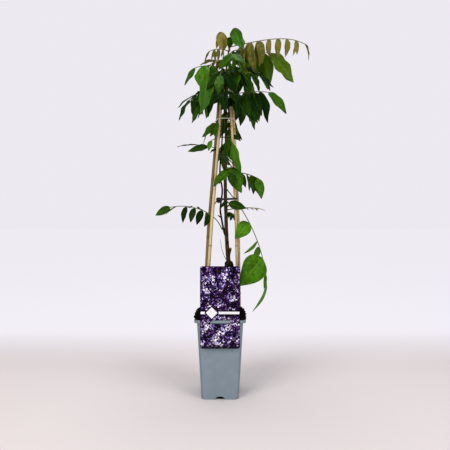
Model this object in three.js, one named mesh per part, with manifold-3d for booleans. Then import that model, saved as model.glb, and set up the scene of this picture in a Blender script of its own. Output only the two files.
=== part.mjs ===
// Wisteria in a square nursery pot, millimetres, +Z up.
// The origin is the centre of the pot's underside; +X is to the right of the labelled front, which faces -Y.
import * as THREE from "three";
import { mergeVertices } from "three/addons/utils/BufferGeometryUtils.js";
import Module from "manifold-3d";

const wasm = await Module();
wasm.setup();

// ---- Driving dimensions
const touchGap = 0.3; // left between pieces that touch

const potHeight = 197;
const potHalfFoot = 46.5; // half the width across the foot
const potHalfTop = 57; // half the width just under the lip
const lipHalf = 63; // half the width across the lip
const lipDrop = 6.5; // height of the turned-down lip
const wall = 1.6;
const cornerRadius = 11;
const archWidth = 22; // drain notches at the foot
const archHeight = 7;
const archDepth = 9;
const drainRadius = 4;
const drainOffset = 30;

const soilClear = touchGap + 0.1;
const soilLevel = potHeight + 5; // edge of the heaped soil
const soilMound = 6; // rise from there to the middle
const soilSpread = lipHalf - 2.5;
const heap = { x: 50, y: 12, spread: 13, height: 6 }; // a taller heap by the right edge

const labelHalf = 48;
const labelTop = 328;
const labelBottom = 130;
const labelThick = 0.8;
const labelBack = -(lipHalf + 0.4);
const labelCorner = 5.5;
const slitEnd = 24; // the slit runs from the left edge to here
const slitLow = 189.5;
const tongueRoot = potHeight + 11; // the tongue leaves the sheet here, and is tucked in behind the rim
const tongueDepth = 13;

const ringHeight = 696; // wire ring round the canes
const ringWire = 0.9;
const tieHeight = 493; // soft tie round the stems and a cane
const tieHalfWidth = 2.2;
const tieHalfThick = 0.7;

const shortEdge = 0.05; // shorter edges, left where leaflets meet the stalk, are closed up
const bladeRib = 0.7; // half the thickness of a leaflet along its rib
const stalkSteps = 7;
const rootFree = 9; // a leaflet is not tested for room this close to its root
const room = 2.2; // left between leaflets, stalks, stems and canes

const colours = {
  pot: 0x848f97, soil: 0x1b1613, cane: 0xdcc68a, bark: 0x5a4a30, label: 0x4a2d78, wire: 0xd8d8d4,
  tie: 0x17161a, green: 0x2f7a1c, bronze: 0x8f7434,
};

// ---- Canes and stems: hand-set courses, [x, y, z, radius]
const canes = {
  cane_front_left: [[-42, -40, 120, 4.2], [-36, -35.5, 205, 4.2], [-22, -27, 425, 4.1],
    [-7, -18, 610, 3.8], [6, -9, 795, 3.3]],
  cane_front_right: [[45, -40, 120, 4.2], [45, -35.5, 205, 4.2], [40.5, -27, 425, 4.1],
    [33, -18, 610, 3.8], [23, -9, 795, 3.3]],
  cane_back_left: [[-46, 42, 140, 4.2], [-43.5, 38, 205, 4.2], [-31, 27, 425, 4.1],
    [-15, 18, 610, 3.8], [-1, 11, 790, 3.3]],
  cane_back_right: [[47, 41, 140, 4.2], [50, 38, 205, 4.2], [47, 27, 425, 4.1],
    [39, 18, 610, 3.8], [30, 11, 790, 3.3]],
};
const caneNodeSpacing = 150;
const caneNodeSwell = 0.7;

const mainStem = [[22, 3, 112, 3.2], [22, 3, 197, 5], [23, 2, 290, 6.2], [23, 2, 306, 10.5],
  [22.5, 1, 322, 12], [21.5, 1, 331, 10.5], [20.8, 0, 336, 5.6], [16.5, 0, 388, 5], [14.5, 0, 452, 4.6],
  [12.8, 0, 524, 4.3], [14, 0, 600, 3.9], [15, 0, 660, 3.6], [14, 0, 720, 3.2], [13, 0, 780, 2.8], [16, -1, 830, 2.4],
  [21, -3, 868, 1.9], [25, -4, 889, 1.4]];
const sideStem = [[16.2, 0, 393, 2.4], [9, -3, 412, 2.5], [1.7, -4, 452, 2.4], [0, -5, 466, 2.3],
  [1.7, -5, 485, 2.3],
  [5, -5, 517, 2.2], [-1, -7, 560, 2.1], [3, -9, 620, 1.9], [8, -8, 690, 1.7], [11, -10, 735, 1.5],
  [14, -13, 772, 1.2]];
// Pruned stubs: where they start, where they are cut, radius
const stubs = [
  { from: [18.6, 0, 348], to: [29, -5, 366], radius: 2.8 },
  { from: [1.2, -4, 446], to: [-6, -6, 452], radius: 1.5 },
  { from: [14, 0, 470], to: [22, 4, 478], radius: 1.8 },
];

// ---- Leaves. height: where the stalk leaves its stem; heading: 0 is +X, 90 is +Y; rise and fall: pitch of the
// stalk at its start and end, bow: how late it turns; blade: length of the longest leaflet; slim: width over
// length; spread: angle of the leaflets to the stalk; hang: pull of their own weight; first and last: size of
// the first and last leaflets; bare: share of the stalk without leaflets. seats, where the pairs are uneven:
// share of the stalk, side, size, swing about the stalk, spread, roll about its own rib, and its own slim where
// it differs. roll alone is that of the end leaflet.
const usual = { stem: "main", bow: 1, slim: 0.4, spread: 58, hang: 0.9, first: 0.75, last: 0.95, bare: 0.26,
  roll: 0 };
const leaves = [
  { name: "leaf_bronze_right", height: 882, heading: -9, rise: 8, fall: -32, bow: 3, length: 190,
    blade: 68, slim: 0.34, hang: 3, young: true, seats: [[0.12, 1, 0.8, 0, 76, 0],
    [0.15, -1, 0.95, 0, 76, 0], [0.24, 1, 1, 0, 72, 0], [0.27, -1, 1.05, 0, 70, 0],
    [0.37, 1, 0.9, 0, 74, 0], [0.4, -1, 1, 0, 66, 0], [0.51, 1, 0.6, 0, 80, 0],
    [0.525, -1, 0.64, 0, 80, 0], [0.63, 1, 0.66, 0, 80, 0], [0.645, -1, 0.66, 0, 80, 0],
    [0.75, 1, 0.64, 0, 80, 0], [0.765, -1, 0.66, 0, 80, 0], [0.87, 1, 0.56, 0, 80, 0],
    [0.88, -1, 0.6, 0, 80, 0], [1, 0, 0.66, 0, 0, 0]] },
  { name: "leaf_right_upper", height: 846, heading: 4, rise: 30, fall: -4, length: 112, blade: 92,
    hang: 1.9, seats: [[0.3, -1, 0.76, 0, 60, 0], [0.34, 1, 0.7, 0, 60, 0],
    [0.58, 1, 0.86, 0, 56, -10, 0.46], [0.7, -1, 0.9, 0, 50, 0], [0.8, 1, 1, 0, 50, -20, 0.5],
    [1, 0, 1.06, 0, 0, 60, 0.5]] },
  { name: "leaf_hanging_front", height: 516, heading: -38, rise: -50, fall: -86, bow: 1.1, length: 262,
    blade: 88, slim: 0.62, hang: 0.1, seats: [[0.38, -1, 0.68, -36, 74, 10], [0.41, 1, 0.3, -100, 60, 0],
    [0.58, -1, 0.56, -40, 64, 0, 0.26], [0.64, -1, 0.4, -40, 50, 10, 0.6],
    [0.74, -1, 1.08, -40, 60, 40, 0.8], [0.9, 1, 0.5, -30, 20, 60, 0.24],
    [1, -1, 0.8, -64, 22, 0, 0.4]] },
  { name: "leaf_left_long", stem: "side", height: 417, heading: 177, rise: 80, fall: -10, bow: 0.58,
    length: 156, blade: 42, slim: 0.48, hang: 0.8, seats: [[0.3, 1, 0.8, -50, 74, 0],
    [0.36, -1, 0.9, 30, 74, 0], [0.46, 1, 0.96, -50, 74, 0], [0.52, -1, 0.9, 60, 74, 0],
    [0.59, 1, 1, -50, 74, 0], [0.68, -1, 0.86, 60, 74, 0], [0.73, 1, 1, -50, 70, 0],
    [0.9, -1, 0.84, 60, 30, 0, 0.3], [1, 0, 1.1, 0, 0, -80]] },
  { name: "leaf_right_middle", height: 560, heading: -10, rise: 8, fall: -34, length: 90, blade: 54,
    slim: 0.44, hang: 1.4, seats: [[0.34, -1, 0.8, 0, 58, 0], [0.38, 1, 0.8, 0, 58, 0],
    [0.56, 1, 0.9, 0, 58, -20], [0.7, -1, 0.94, 0, 58, 20], [0.76, 1, 0.9, 0, 58, -20],
    [0.9, -1, 1, 0, 50, 30, 0.5], [0.96, 1, 0.8, 60, 20, 60, 0.3], [1, 0, 0.8, 0, 0, 60]] },
  { name: "leaf_left_upper", height: 824, heading: 192, rise: 22, fall: -24, length: 80, blade: 70,
    slim: 0.4, hang: 2, seats: [[0.36, 1, 0.8, 0, 70, 0], [0.42, -1, 0.8, 0, 50, 0],
    [0.56, -1, 0.8, 0, 40, 0], [0.74, 1, 1.04, 0, 70, 0, 0.66], [0.94, -1, 0.8, 0, 10, -60, 0.3],
    [0.97, 1, 0.8, 0, 4, 60, 0.3], [1, 0, 0.76, 0, 0, -70, 0.3]] },
  { name: "leaf_right_lower", height: 755, heading: -10, rise: 18, fall: -12, length: 108, pairs: 4,
    blade: 78, hang: 1.6, roll: 50 },
  { name: "leaf_left_lower", height: 756, heading: 188, rise: 4, fall: -42, length: 56, pairs: 3,
    blade: 60, hang: 0.5, roll: -50 },
  { name: "leaf_left_front", height: 803, heading: 234, rise: 6, fall: -30, length: 76, blade: 94,
    slim: 0.4, hang: 6, seats: [[0.34, 1, 0.56, 0, 80, 0], [0.4, -1, 0.6, 0, 60, 0],
    [0.7, -1, 0.7, 0, 50, 0], [1, -1, 1, 0, 100, 160, 0.42]] },
  { name: "leaf_apex_green", height: 872, heading: -52, rise: 80, fall: 50, length: 54, blade: 66,
    slim: 0.62, hang: 2.2, seats: [[0.56, -1, 0.6, 0, 90, 0], [0.6, 1, 0.62, 0, 80, 0],
    [1, 1, 1, 0, 104, 10]] },
  { name: "leaf_bronze_apex", height: 886, heading: -118, rise: 66, fall: -78, length: 76, pairs: 7,
    blade: 46, slim: 0.32, spread: 74, bare: 0.2, hang: 2.2, young: true },
  { name: "leaf_bronze_left", height: 848, heading: 178, rise: 16, fall: -46, length: 46, pairs: 2,
    blade: 44, slim: 0.44, spread: 50, hang: 0.5, young: true },
  { name: "leaf_bronze_top_left", height: 872, heading: 164, rise: 30, fall: -16, length: 50, pairs: 3,
    blade: 36, slim: 0.24, spread: 74, hang: 2, young: true },
  { name: "leaf_front_dark", height: 602, heading: -122, rise: 10, fall: -20, length: 30, blade: 54,
    slim: 0.5, hang: 0.5, seats: [[0.5, -1, 0.6, 0, 40, 0], [0.62, 1, 0.9, 0, 100, 0],
    [1, 1, 1.08, 0, 84, 0, 0.6]] },
  { name: "leaf_front_lower", height: 572, heading: -78, rise: 6, fall: -46, length: 56, blade: 64,
    hang: 1, seats: [[0.4, 1, 0.8, 0, 70, 0], [0.5, -1, 0.8, 0, 60, 0], [0.8, -1, 1, 0, 84, 0, 0.5],
    [0.84, 1, 1, 0, 40, 40, 0.5], [1, 0, 0.6, 0, 0, 0]] },
  { name: "leaf_right_front", height: 806, heading: -50, rise: 4, fall: -26, length: 92, pairs: 4,
    blade: 62, hang: 1.5 },
  { name: "leaf_front_upper", height: 846, heading: -80, rise: 20, fall: -50, length: 76, pairs: 4,
    blade: 56 },
  { name: "leaf_front_crown", height: 813, heading: -100, rise: 4, fall: -50, length: 88, pairs: 3,
    blade: 62 },
  { name: "leaf_front_ring", height: 744, heading: -70, rise: 16, fall: -46, length: 62, pairs: 3,
    blade: 58 },
  { name: "leaf_front_deep", stem: "side", height: 752, heading: -92, rise: 34, fall: -46, length: 58,
    pairs: 3, blade: 58 },
  { name: "leaf_right_inner", height: 812, heading: -32, rise: 16, fall: -34, length: 96, pairs: 4,
    blade: 66 },
  { name: "leaf_left_small", height: 690, heading: 196, rise: 4, fall: -44, length: 38, pairs: 2,
    blade: 58, hang: 0.8 },
  { name: "leaf_left_row", height: 614, heading: 176, rise: 30, fall: 4, length: 66, blade: 66,
    slim: 0.34, hang: 0.1, seats: [[0.3, 1, 0.5, -20, 70, 0], [0.66, 1, 0.84, -34, 34, -50],
    [1, 0, 0.9, 0, 0, 0]] },
  { name: "leaf_right_small", height: 654, heading: -30, rise: 4, fall: -30, length: 28, blade: 46,
    hang: 0.8, seats: [[0.5, -1, 0.8, 0, 40, 0], [0.6, 1, 0.8, 0, 40, 60], [1, 0, 0.9, 0, 0, 60]] },
  { name: "leaf_bronze_bud_right", height: 676, heading: 4, rise: 10, fall: -20, length: 20, pairs: 2,
    blade: 15, slim: 0.34, young: true },
  { name: "leaf_bronze_shoot", height: 466, heading: 3, rise: 12, fall: -8, length: 84, pairs: 3,
    blade: 15, slim: 0.26, spread: 44, hang: 0.3, bare: 0.55, young: true },
  { name: "leaf_low_right", height: 486, heading: -75, rise: 14, fall: -34, length: 24, blade: 48,
    slim: 0.5, hang: 0.4, seats: [[0.6, -1, 0.6, 0, 60, 0], [1, 1, 1, 0, 60, 0]] },
  { name: "leaf_low_green", height: 458, heading: -42, rise: 20, fall: -60, length: 24, pairs: 2,
    blade: 26, slim: 0.42 },
  { name: "leaf_back_top", height: 838, heading: 62, rise: 30, fall: -36, length: 112, pairs: 4,
    blade: 68 },
  { name: "leaf_back_upper", height: 806, heading: 112, rise: 24, fall: -38, length: 118, pairs: 4,
    blade: 70 },
  { name: "leaf_back_left", height: 776, heading: 150, rise: 16, fall: -40, length: 100, pairs: 4,
    blade: 66 },
  { name: "leaf_back_right", height: 764, heading: 34, rise: 14, fall: -30, length: 112, pairs: 4,
    blade: 66, hang: 1.3 },
  { name: "leaf_back_middle", height: 724, heading: 84, rise: 10, fall: -44, length: 98, pairs: 3,
    blade: 64 },
  { name: "leaf_back_low", height: 640, heading: 94, rise: 16, fall: -42, length: 74, pairs: 3,
    blade: 52 },
  { name: "leaf_front_middle", height: 644, heading: -71, rise: 8, fall: -56, length: 50, pairs: 2,
    blade: 80, slim: 0.34, hang: 1.6 },
  { name: "leaf_top_front", height: 862, heading: -34, rise: 40, fall: -50, length: 44, pairs: 2,
    blade: 48, hang: 1.4 },
  { name: "leaf_left_tucked", height: 652, heading: 188, rise: 0, fall: -40, length: 46, blade: 46,
    slim: 0.46, hang: 1.5, seats: [[0.8, 1, 0.7, 0, 50, -40], [1, 0, 0.9, 0, 0, -80]] },
].map((leaf) => ({ ...usual, ...leaf }));

// ---- Small helpers
const radians = THREE.MathUtils.degToRad;
const up = new THREE.Vector3(0, 0, 1);
const vector = ([x, y, z]) => new THREE.Vector3(x, y, z);

// Repeatable draws between 0 and 1
function randomFrom(seed) {
  let state = seed;
  return () => {
    state = (state * 1664525 + 1013904223) % 4294967296;
    return state / 4294967296;
  };
}

// Closed body through rings of points, each ring counterclockwise about the way ahead. Every other strip is
// split along the other diagonal, so that both faces of a thin blade are split alike. A last ring of one
// point closes to a tip, and loop joins the last ring to the first.
function loft(rings, loop = false) {
  const around = rings[0].length;
  const positions = rings.flat().flatMap((point) => [point.x, point.y, point.z]);
  const index = [];
  const vertex = (i, j) => (rings[i].length === 1 ? i * around : i * around + (j % around));
  const joins = loop ? rings.length : rings.length - 1;
  for (let i = 0; i < joins; i++) {
    const next = (i + 1) % rings.length;
    for (let j = 0; j < around; j++) {
      const [a, b, c, d] = [vertex(i, j), vertex(i, j + 1), vertex(next, j + 1), vertex(next, j)];
      if (c === d) index.push(a, b, c);
      else if (j % 2) index.push(a, b, d, b, c, d);
      else index.push(a, b, c, a, c, d);
    }
  }
  const last = rings.length - 1;
  for (let j = 1; !loop && j < around - 1; j++) {
    index.push(vertex(0, 0), vertex(0, j + 1), vertex(0, j));
    if (rings[last].length > 1) index.push(vertex(last, 0), vertex(last, j), vertex(last, j + 1));
  }
  const geometry = new THREE.BufferGeometry();
  geometry.setAttribute("position", new THREE.Float32BufferAttribute(positions, 3));
  geometry.setIndex(index);
  return geometry;
}

// Ring of a tube, square to its course; reference is a direction that the course never takes
function ringAround(centre, tangent, reference, radius, sides) {
  const first = reference.clone().addScaledVector(tangent, -reference.dot(tangent)).normalize();
  const second = tangent.clone().cross(first);
  return Array.from({ length: sides }, (_, i) => {
    const angle = ((i + 0.5) / sides) * 2 * Math.PI;
    return centre.clone()
      .addScaledVector(first, radius * Math.cos(angle))
      .addScaledVector(second, radius * Math.sin(angle));
  });
}

function tangentsOf(points) {
  return points.map((_, i) => {
    const before = points[Math.max(i - 1, 0)];
    const after = points[Math.min(i + 1, points.length - 1)];
    return after.clone().sub(before).normalize();
  });
}

function tube(points, radii, sides, reference) {
  const tangents = tangentsOf(points);
  return loft(points.map((point, i) => ringAround(point, tangents[i], reference, radii[i], sides)));
}

function solid(geometry) {
  return new wasm.Manifold(new wasm.Mesh({
    numProp: 3,
    vertProperties: new Float32Array(geometry.attributes.position.array),
    triVerts: new Uint32Array(geometry.index.array),
  }));
}

// Solid of a three.js geometry whose faces do not yet share their vertices
function solidOf(geometry) {
  geometry.deleteAttribute("normal");
  geometry.deleteAttribute("uv");
  return solid(mergeVertices(geometry, 1e-4));
}

function joined(geometries) {
  return geometries.map(solid).reduce((whole, piece) => whole.add(piece));
}

function geometryOf(body) {
  const mesh = body.getMesh();
  const geometry = new THREE.BufferGeometry();
  geometry.setAttribute("position", new THREE.BufferAttribute(mesh.vertProperties, 3));
  geometry.setIndex(new THREE.BufferAttribute(mesh.triVerts, 1));
  return geometry;
}

// Closes up the very short edges that are left where pieces meet, one by one, and keeps the body closed
function withoutShortEdges(geometry) {
  const position = geometry.attributes.position;
  const point = (_, i) => new THREE.Vector3().fromBufferAttribute(position, i);
  const points = Array.from({ length: position.count }, point);
  const index = geometry.index.array;
  let triangles = Array.from({ length: index.length / 3 }, (_, i) => [...index.slice(3 * i, 3 * i + 3)]);
  const isShort = ([a, b]) => {
    if (points[a].distanceTo(points[b]) > shortEdge) return false;
    const around = (i) => new Set(triangles.filter((corners) => corners.includes(i)).flat());
    const shared = [...around(a).intersection(around(b))];
    return shared.length === 4; // its own ends, and the far corners of its two triangles
  };
  for (;;) {
    const edge = triangles.flatMap(([a, b, c]) => [[a, b], [b, c], [c, a]]).find(isShort);
    if (!edge) break;
    triangles = triangles
      .map((corners) => corners.map((corner) => (corner === edge[1] ? edge[0] : corner)))
      .filter((corners) => new Set(corners).size === 3);
  }
  geometry.setIndex(triangles.flat());
  return geometry;
}

// Box as a closed loft, from its lowest to its highest corner
function block(low, high) {
  const corners = (z) => [[low[0], low[1]], [high[0], low[1]], [high[0], high[1]], [low[0], high[1]]]
    .map(([x, y]) => new THREE.Vector3(x, y, z));
  return loft([corners(low[2]), corners(high[2])]);
}

const group = new THREE.Group();

function addPiece(name, geometry, colour, roughness) {
  geometry.computeVertexNormals();
  const material = new THREE.MeshStandardMaterial({ color: colour, roughness, metalness: 0 });
  const mesh = new THREE.Mesh(geometry, material);
  mesh.name = name;
  group.add(mesh);
}

// ---- Pot
const cornerSteps = 3;

function roundedSquare(half, z, radius = cornerRadius) {
  const points = [];
  for (const [side, [sx, sy]] of [[1, 1], [-1, 1], [-1, -1], [1, -1]].entries()) {
    for (let i = 0; i <= cornerSteps; i++) {
      const angle = (side + i / cornerSteps) * (Math.PI / 2);
      const x = sx * (half - radius) + radius * Math.cos(angle);
      const y = sy * (half - radius) + radius * Math.sin(angle);
      points.push(new THREE.Vector3(x, y, z));
    }
  }
  return points;
}

const potHalfAt = (z) => THREE.MathUtils.mapLinear(z, 0, potHeight, potHalfFoot, potHalfTop);
const insideHalfAt = (z) => potHalfAt(z) - wall;
const lipFoot = potHeight - lipDrop;

function makePot() {
  const turnUnder = lipHalf - wall;
  const profile = [
    [potHalfFoot, 0],
    [potHalfAt(potHeight - wall), potHeight - wall - 0.4],
    [turnUnder, potHeight - wall - 0.4],
    [turnUnder, lipFoot],
    [lipHalf, lipFoot],
    [lipHalf, potHeight - 0.8],
    [lipHalf - 0.8, potHeight],
    [insideHalfAt(potHeight), potHeight],
    [insideHalfAt(wall), wall],
  ];
  let pot = solid(loft(profile.map(([half, z]) => roundedSquare(half, z))));
  const arch = new THREE.Shape();
  arch.moveTo(-archWidth / 2, -1);
  arch.lineTo(archWidth / 2, -1);
  arch.lineTo(archWidth / 2, archHeight * 0.35);
  arch.quadraticCurveTo(archWidth * 0.42, archHeight, 0, archHeight);
  arch.quadraticCurveTo(-archWidth * 0.42, archHeight, -archWidth / 2, archHeight * 0.35);
  for (let side = 0; side < 4; side++) {
    const depth = 2 * archDepth;
    const cutter = new THREE.ExtrudeGeometry(arch, { depth, bevelEnabled: false, curveSegments: 4 });
    cutter.rotateX(Math.PI / 2).translate(0, archDepth - potHalfFoot, 0).rotateZ((side * Math.PI) / 2);
    pot = pot.subtract(solidOf(cutter));
  }
  for (const [x, y] of [[1, 1], [-1, 1], [-1, -1], [1, -1]]) {
    const drill = new THREE.CylinderGeometry(drainRadius, drainRadius, 4 * wall, 8);
    drill.rotateX(Math.PI / 2).translate(x * drainOffset, y * drainOffset, 0);
    pot = pot.subtract(solidOf(drill));
  }
  return geometryOf(pot);
}

addPiece("pot", makePot(), colours.pot, 0.5);

// ---- Canes and stems
const back = new THREE.Vector3(0, 1, 0);

// A course is the points and radii of a tube. A hole's course is wider, and starts 1 mm further back.
function holeOf({ points, radii }) {
  const start = points[0].clone().sub(points[1]).setLength(1).add(points[0]);
  return { points: [start, ...points.slice(1)], radii: radii.map((radius) => radius + soilClear) };
}

const stemCourse = (rows) => ({ points: rows.map(vector), radii: rows.map((row) => row[3]) });

// Where a course passes a height, and how wide it is there
function courseAt({ points, radii }, z) {
  const i = Math.max(1, points.findIndex((point) => point.z >= z));
  const share = (z - points[i - 1].z) / (points[i].z - points[i - 1].z);
  return {
    centre: points[i - 1].clone().lerp(points[i], share),
    radius: THREE.MathUtils.lerp(radii[i - 1], radii[i], share),
  };
}

// Course of a cane, with a swollen node every caneNodeSpacing of its height
function caneCourse(rows) {
  const nodes = [];
  for (let z = rows[0][2] + 0.7 * caneNodeSpacing; z < rows.at(-1)[2] - 10; z += caneNodeSpacing) {
    for (const [rise, swell] of [[-3, 0], [0, caneNodeSwell], [3, 0]]) {
      const { centre, radius } = courseAt(stemCourse(rows), z + rise);
      nodes.push([...centre, radius + swell]);
    }
  }
  return stemCourse([...rows, ...nodes].sort((low, high) => low[2] - high[2]));
}

const tubeOn = ({ points, radii }, sides = 7) => tube(points, radii, sides, back);
const caneCourses = Object.fromEntries(Object.entries(canes).map(([name, rows]) => [name, caneCourse(rows)]));
const stems = { main: stemCourse(mainStem), side: stemCourse(sideStem) };

function makeStem() {
  const cuts = stubs.map(({ from, to, radius }) =>
    tubeOn({ points: [vector(from), vector(to)], radii: [radius, radius * 0.9] }, 6));
  return geometryOf(joined([tubeOn(stems.main, 8), tubeOn(stems.side), ...cuts]));
}

for (const [name, course] of Object.entries(caneCourses)) {
  addPiece(name, tubeOn(course), colours.cane, 0.55);
}
addPiece("stem", makeStem(), colours.bark, 0.8);

// ---- Soil: a plug that fills the pot and is heaped over its lip, with plain holes for what stands in it
function soilHeight(x, y) {
  const fromMiddle = Math.max(Math.abs(x), Math.abs(y)) / soilSpread;
  const mound = soilMound * (1 - fromMiddle ** 2);
  const lumps = 1.3 * Math.sin(x * 0.31 + 1) * Math.cos(y * 0.27) + 0.8 * Math.sin(x * 0.12 - y * 0.19);
  const side = heap.height * Math.exp(-((x - heap.x) ** 2 + (y - heap.y) ** 2) / (2 * heap.spread ** 2));
  return soilLevel + mound + lumps + side;
}

function makeSoil() {
  const insideTop = insideHalfAt(potHeight) - soilClear;
  const overLip = potHeight + soilClear;
  const rings = [
    roundedSquare(insideHalfAt(wall) - soilClear, wall + soilClear),
    roundedSquare(insideTop, overLip),
    roundedSquare(soilSpread, overLip),
  ];
  for (const share of [1, 0.92, 0.76, 0.56, 0.34, 0.12]) {
    const ring = roundedSquare(soilSpread * share, 0, cornerRadius * share);
    const sink = share === 1 ? 3 : 0;
    rings.push(ring.map(({ x, y }) => new THREE.Vector3(x, y, soilHeight(x, y) - sink)));
  }
  let soil = solid(loft(rings));
  for (const course of [...Object.values(caneCourses), stems.main]) {
    soil = soil.subtract(solid(tubeOn(holeOf(course), course === stems.main ? 8 : 7)));
  }
  // In front the soil is straight, and leaves the label's tongue its place
  const front = -(insideHalfAt(potHeight - tongueDepth) - labelThick - 3 * soilClear);
  const reach = 2 * lipHalf;
  const cutter = block([-reach, -reach, potHeight - tongueDepth - 1], [reach, front, 2 * potHeight]);
  return geometryOf(soil.subtract(solid(cutter)));
}

addPiece("soil", makeSoil(), colours.soil, 0.95);

// ---- Label: a thin sheet in front of the rim, with a slit; what is over the slit is tucked in behind the rim
function makeLabel() {
  const outline = new THREE.Shape();
  const r = labelCorner;
  const slitTip = slitEnd + 3;
  outline.moveTo(-labelHalf + r, labelBottom);
  outline.lineTo(labelHalf - r, labelBottom);
  outline.absarc(labelHalf - r, labelBottom + r, r, -Math.PI / 2, 0);
  outline.lineTo(labelHalf, labelTop - r);
  outline.absarc(labelHalf - r, labelTop - r, r, 0, Math.PI / 2);
  outline.lineTo(-labelHalf + r, labelTop);
  outline.absarc(-labelHalf + r, labelTop - r, r, Math.PI / 2, Math.PI);
  outline.lineTo(-labelHalf, tongueRoot);
  outline.lineTo(slitEnd, tongueRoot);
  outline.quadraticCurveTo(slitTip, slitLow + 4, slitEnd, slitLow + 2);
  outline.quadraticCurveTo(0, slitLow - 2, -labelHalf, slitLow - 1);
  outline.lineTo(-labelHalf, labelBottom + r);
  outline.absarc(-labelHalf + r, labelBottom + r, r, Math.PI, 1.5 * Math.PI);
  const depth = labelThick;
  const sheet = new THREE.ExtrudeGeometry(outline, { depth, bevelEnabled: false, curveSegments: 4 });
  sheet.rotateX(Math.PI / 2).translate(0, labelBack, 0);

  // Course of the tongue over the rim, in Y and Z
  const middle = labelBack - labelThick / 2;
  const half = labelThick / 2;
  const inside = -(insideHalfAt(potHeight - tongueDepth) - soilClear - half);
  const over = potHeight + touchGap + half;
  const course = [[middle, tongueRoot + 1], [middle + 0.1, tongueRoot - 1], [middle + 2.2, over + 1.8],
    [middle + 5, over + 0.2], [inside - 1, over + 0.1], [inside, potHeight - 2],
    [inside, potHeight - tongueDepth]];
  const points = course.map(([y, z]) => new THREE.Vector3(0, y, z));
  const tangents = tangentsOf(points);
  const left = cornerRadius - insideHalfAt(potHeight - tongueDepth); // clear of the pot's round corner
  const rings = points.map((point, i) => {
    const normal = new THREE.Vector3(1, 0, 0).cross(tangents[i]).multiplyScalar(half - 0.01);
    return [[slitEnd, 1], [slitEnd, -1], [left, -1], [left, 1]].map(([x, side]) =>
      point.clone().addScaledVector(normal, side).setX(x));
  });
  return geometryOf(solidOf(sheet).add(solid(loft(rings))));
}

addPiece("label", makeLabel(), colours.label, 0.35);

// ---- Ties
// Level loop round several round pieces, as a string pulled round them would lie: arcs round those it touches
function loopRound(held, clear) {
  const turns = 10;
  const corners = held.flatMap(({ centre, radius }) => Array.from({ length: turns }, (_, i) => {
    const angle = (i / turns) * 2 * Math.PI;
    const reach = (radius + clear) / Math.cos(Math.PI / turns);
    return new THREE.Vector3(reach * Math.cos(angle), reach * Math.sin(angle), 0).add(centre);
  }));
  const hull = [];
  let from = corners.reduce((low, point) => (point.x < low.x ? point : low));
  while (!hull.includes(from)) {
    hull.push(from);
    const here = from;
    from = corners.filter((point) => point !== here).reduce((best, point) => {
      const turn = (best.x - here.x) * (point.y - here.y) - (best.y - here.y) * (point.x - here.x);
      return turn < 0 ? point : best;
    });
  }
  return hull;
}

// Closed band along a level loop, from a section of [outward, up] corners
function band(path, section) {
  const rings = path.map((point, i) => {
    const before = path[(i + path.length - 1) % path.length];
    const after = path[(i + 1) % path.length];
    const tangent = after.clone().sub(before).normalize();
    const outward = tangent.clone().cross(up).normalize();
    return section.map(([out, rise]) =>
      point.clone().addScaledVector(outward, out).addScaledVector(up, rise));
  });
  return loft(rings, true);
}

const heldByRing = Object.values(caneCourses).map((course) => courseAt(course, ringHeight));
const ringLoop = loopRound(heldByRing, ringWire + touchGap);
const wire = [[-ringWire, 0], [0, ringWire], [ringWire, 0], [0, -ringWire]];
addPiece("cane_ring", band(ringLoop, wire), colours.wire, 0.4);

const heldByTie = [stems.main, stems.side, caneCourses.cane_front_right]
  .map((course) => courseAt(course, tieHeight));
const tieLoop = loopRound(heldByTie, tieHalfThick + touchGap);
const strap = [[-tieHalfThick, -tieHalfWidth], [-tieHalfThick, tieHalfWidth], [tieHalfThick, tieHalfWidth],
  [tieHalfThick, -tieHalfWidth]];
const knot = stemCourse([[-9, -9.9, 489.5, 2.2], [-6, -11.4, 490.5, 4], [2, -12.4, 491, 4.2],
  [7, -12.4, 491.5, 2.4]]);
const tie = joined([band(tieLoop, strap), tubeOn(knot, 6)]);
addPiece("stem_tie", geometryOf(tie), colours.tie, 0.7);

// ---- Leaves: each stalk, then each leaflet, is turned a little at a time until it is clear of the others
const cellSize = 16;
const taken = new Map();
const cellKey = (x, y, z) => `${x},${y},${z}`;
const cellOf = (point) => point.toArray().map((value) => Math.floor(value / cellSize));

function take(point, radius, owner = "") {
  const key = cellKey(...cellOf(point));
  if (!taken.has(key)) taken.set(key, []);
  taken.get(key).push({ point, radius, owner });
}

function isFree(point, radius, except) {
  const [x, y, z] = cellOf(point);
  for (let i = x - 1; i <= x + 1; i++) {
    for (let j = y - 1; j <= y + 1; j++) {
      for (let k = z - 1; k <= z + 1; k++) {
        for (const ball of taken.get(cellKey(i, j, k)) ?? []) {
          const near = ball.point.distanceTo(point) < ball.radius + radius + room;
          if (near && ball.owner !== except) return false;
        }
      }
    }
  }
  return true;
}

// Points every few millimetres along a row of points
function spaced(points, step) {
  return points.slice(1).flatMap((end, i) => {
    const count = Math.ceil(end.distanceTo(points[i]) / step);
    return Array.from({ length: count }, (_, j) => points[i].clone().lerp(end, (j + 1) / count));
  });
}

function takeCourse({ points, radii }, owner) {
  points.slice(1).forEach((end, i) => {
    const radius = Math.max(radii[i], radii[i + 1]);
    spaced([points[i], end], 4).forEach((point) => take(point, radius, owner));
  });
}

function takeLoop(path, radius) {
  spaced([...path, path[0]], 4).forEach((point) => take(point, radius));
}

function takeLabel(step = 5) {
  for (let x = -labelHalf; x <= labelHalf; x += step) {
    for (let z = potHeight; z <= labelTop; z += step) {
      take(new THREE.Vector3(x, labelBack - labelThick / 2, z), 0.5);
    }
  }
}

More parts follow.
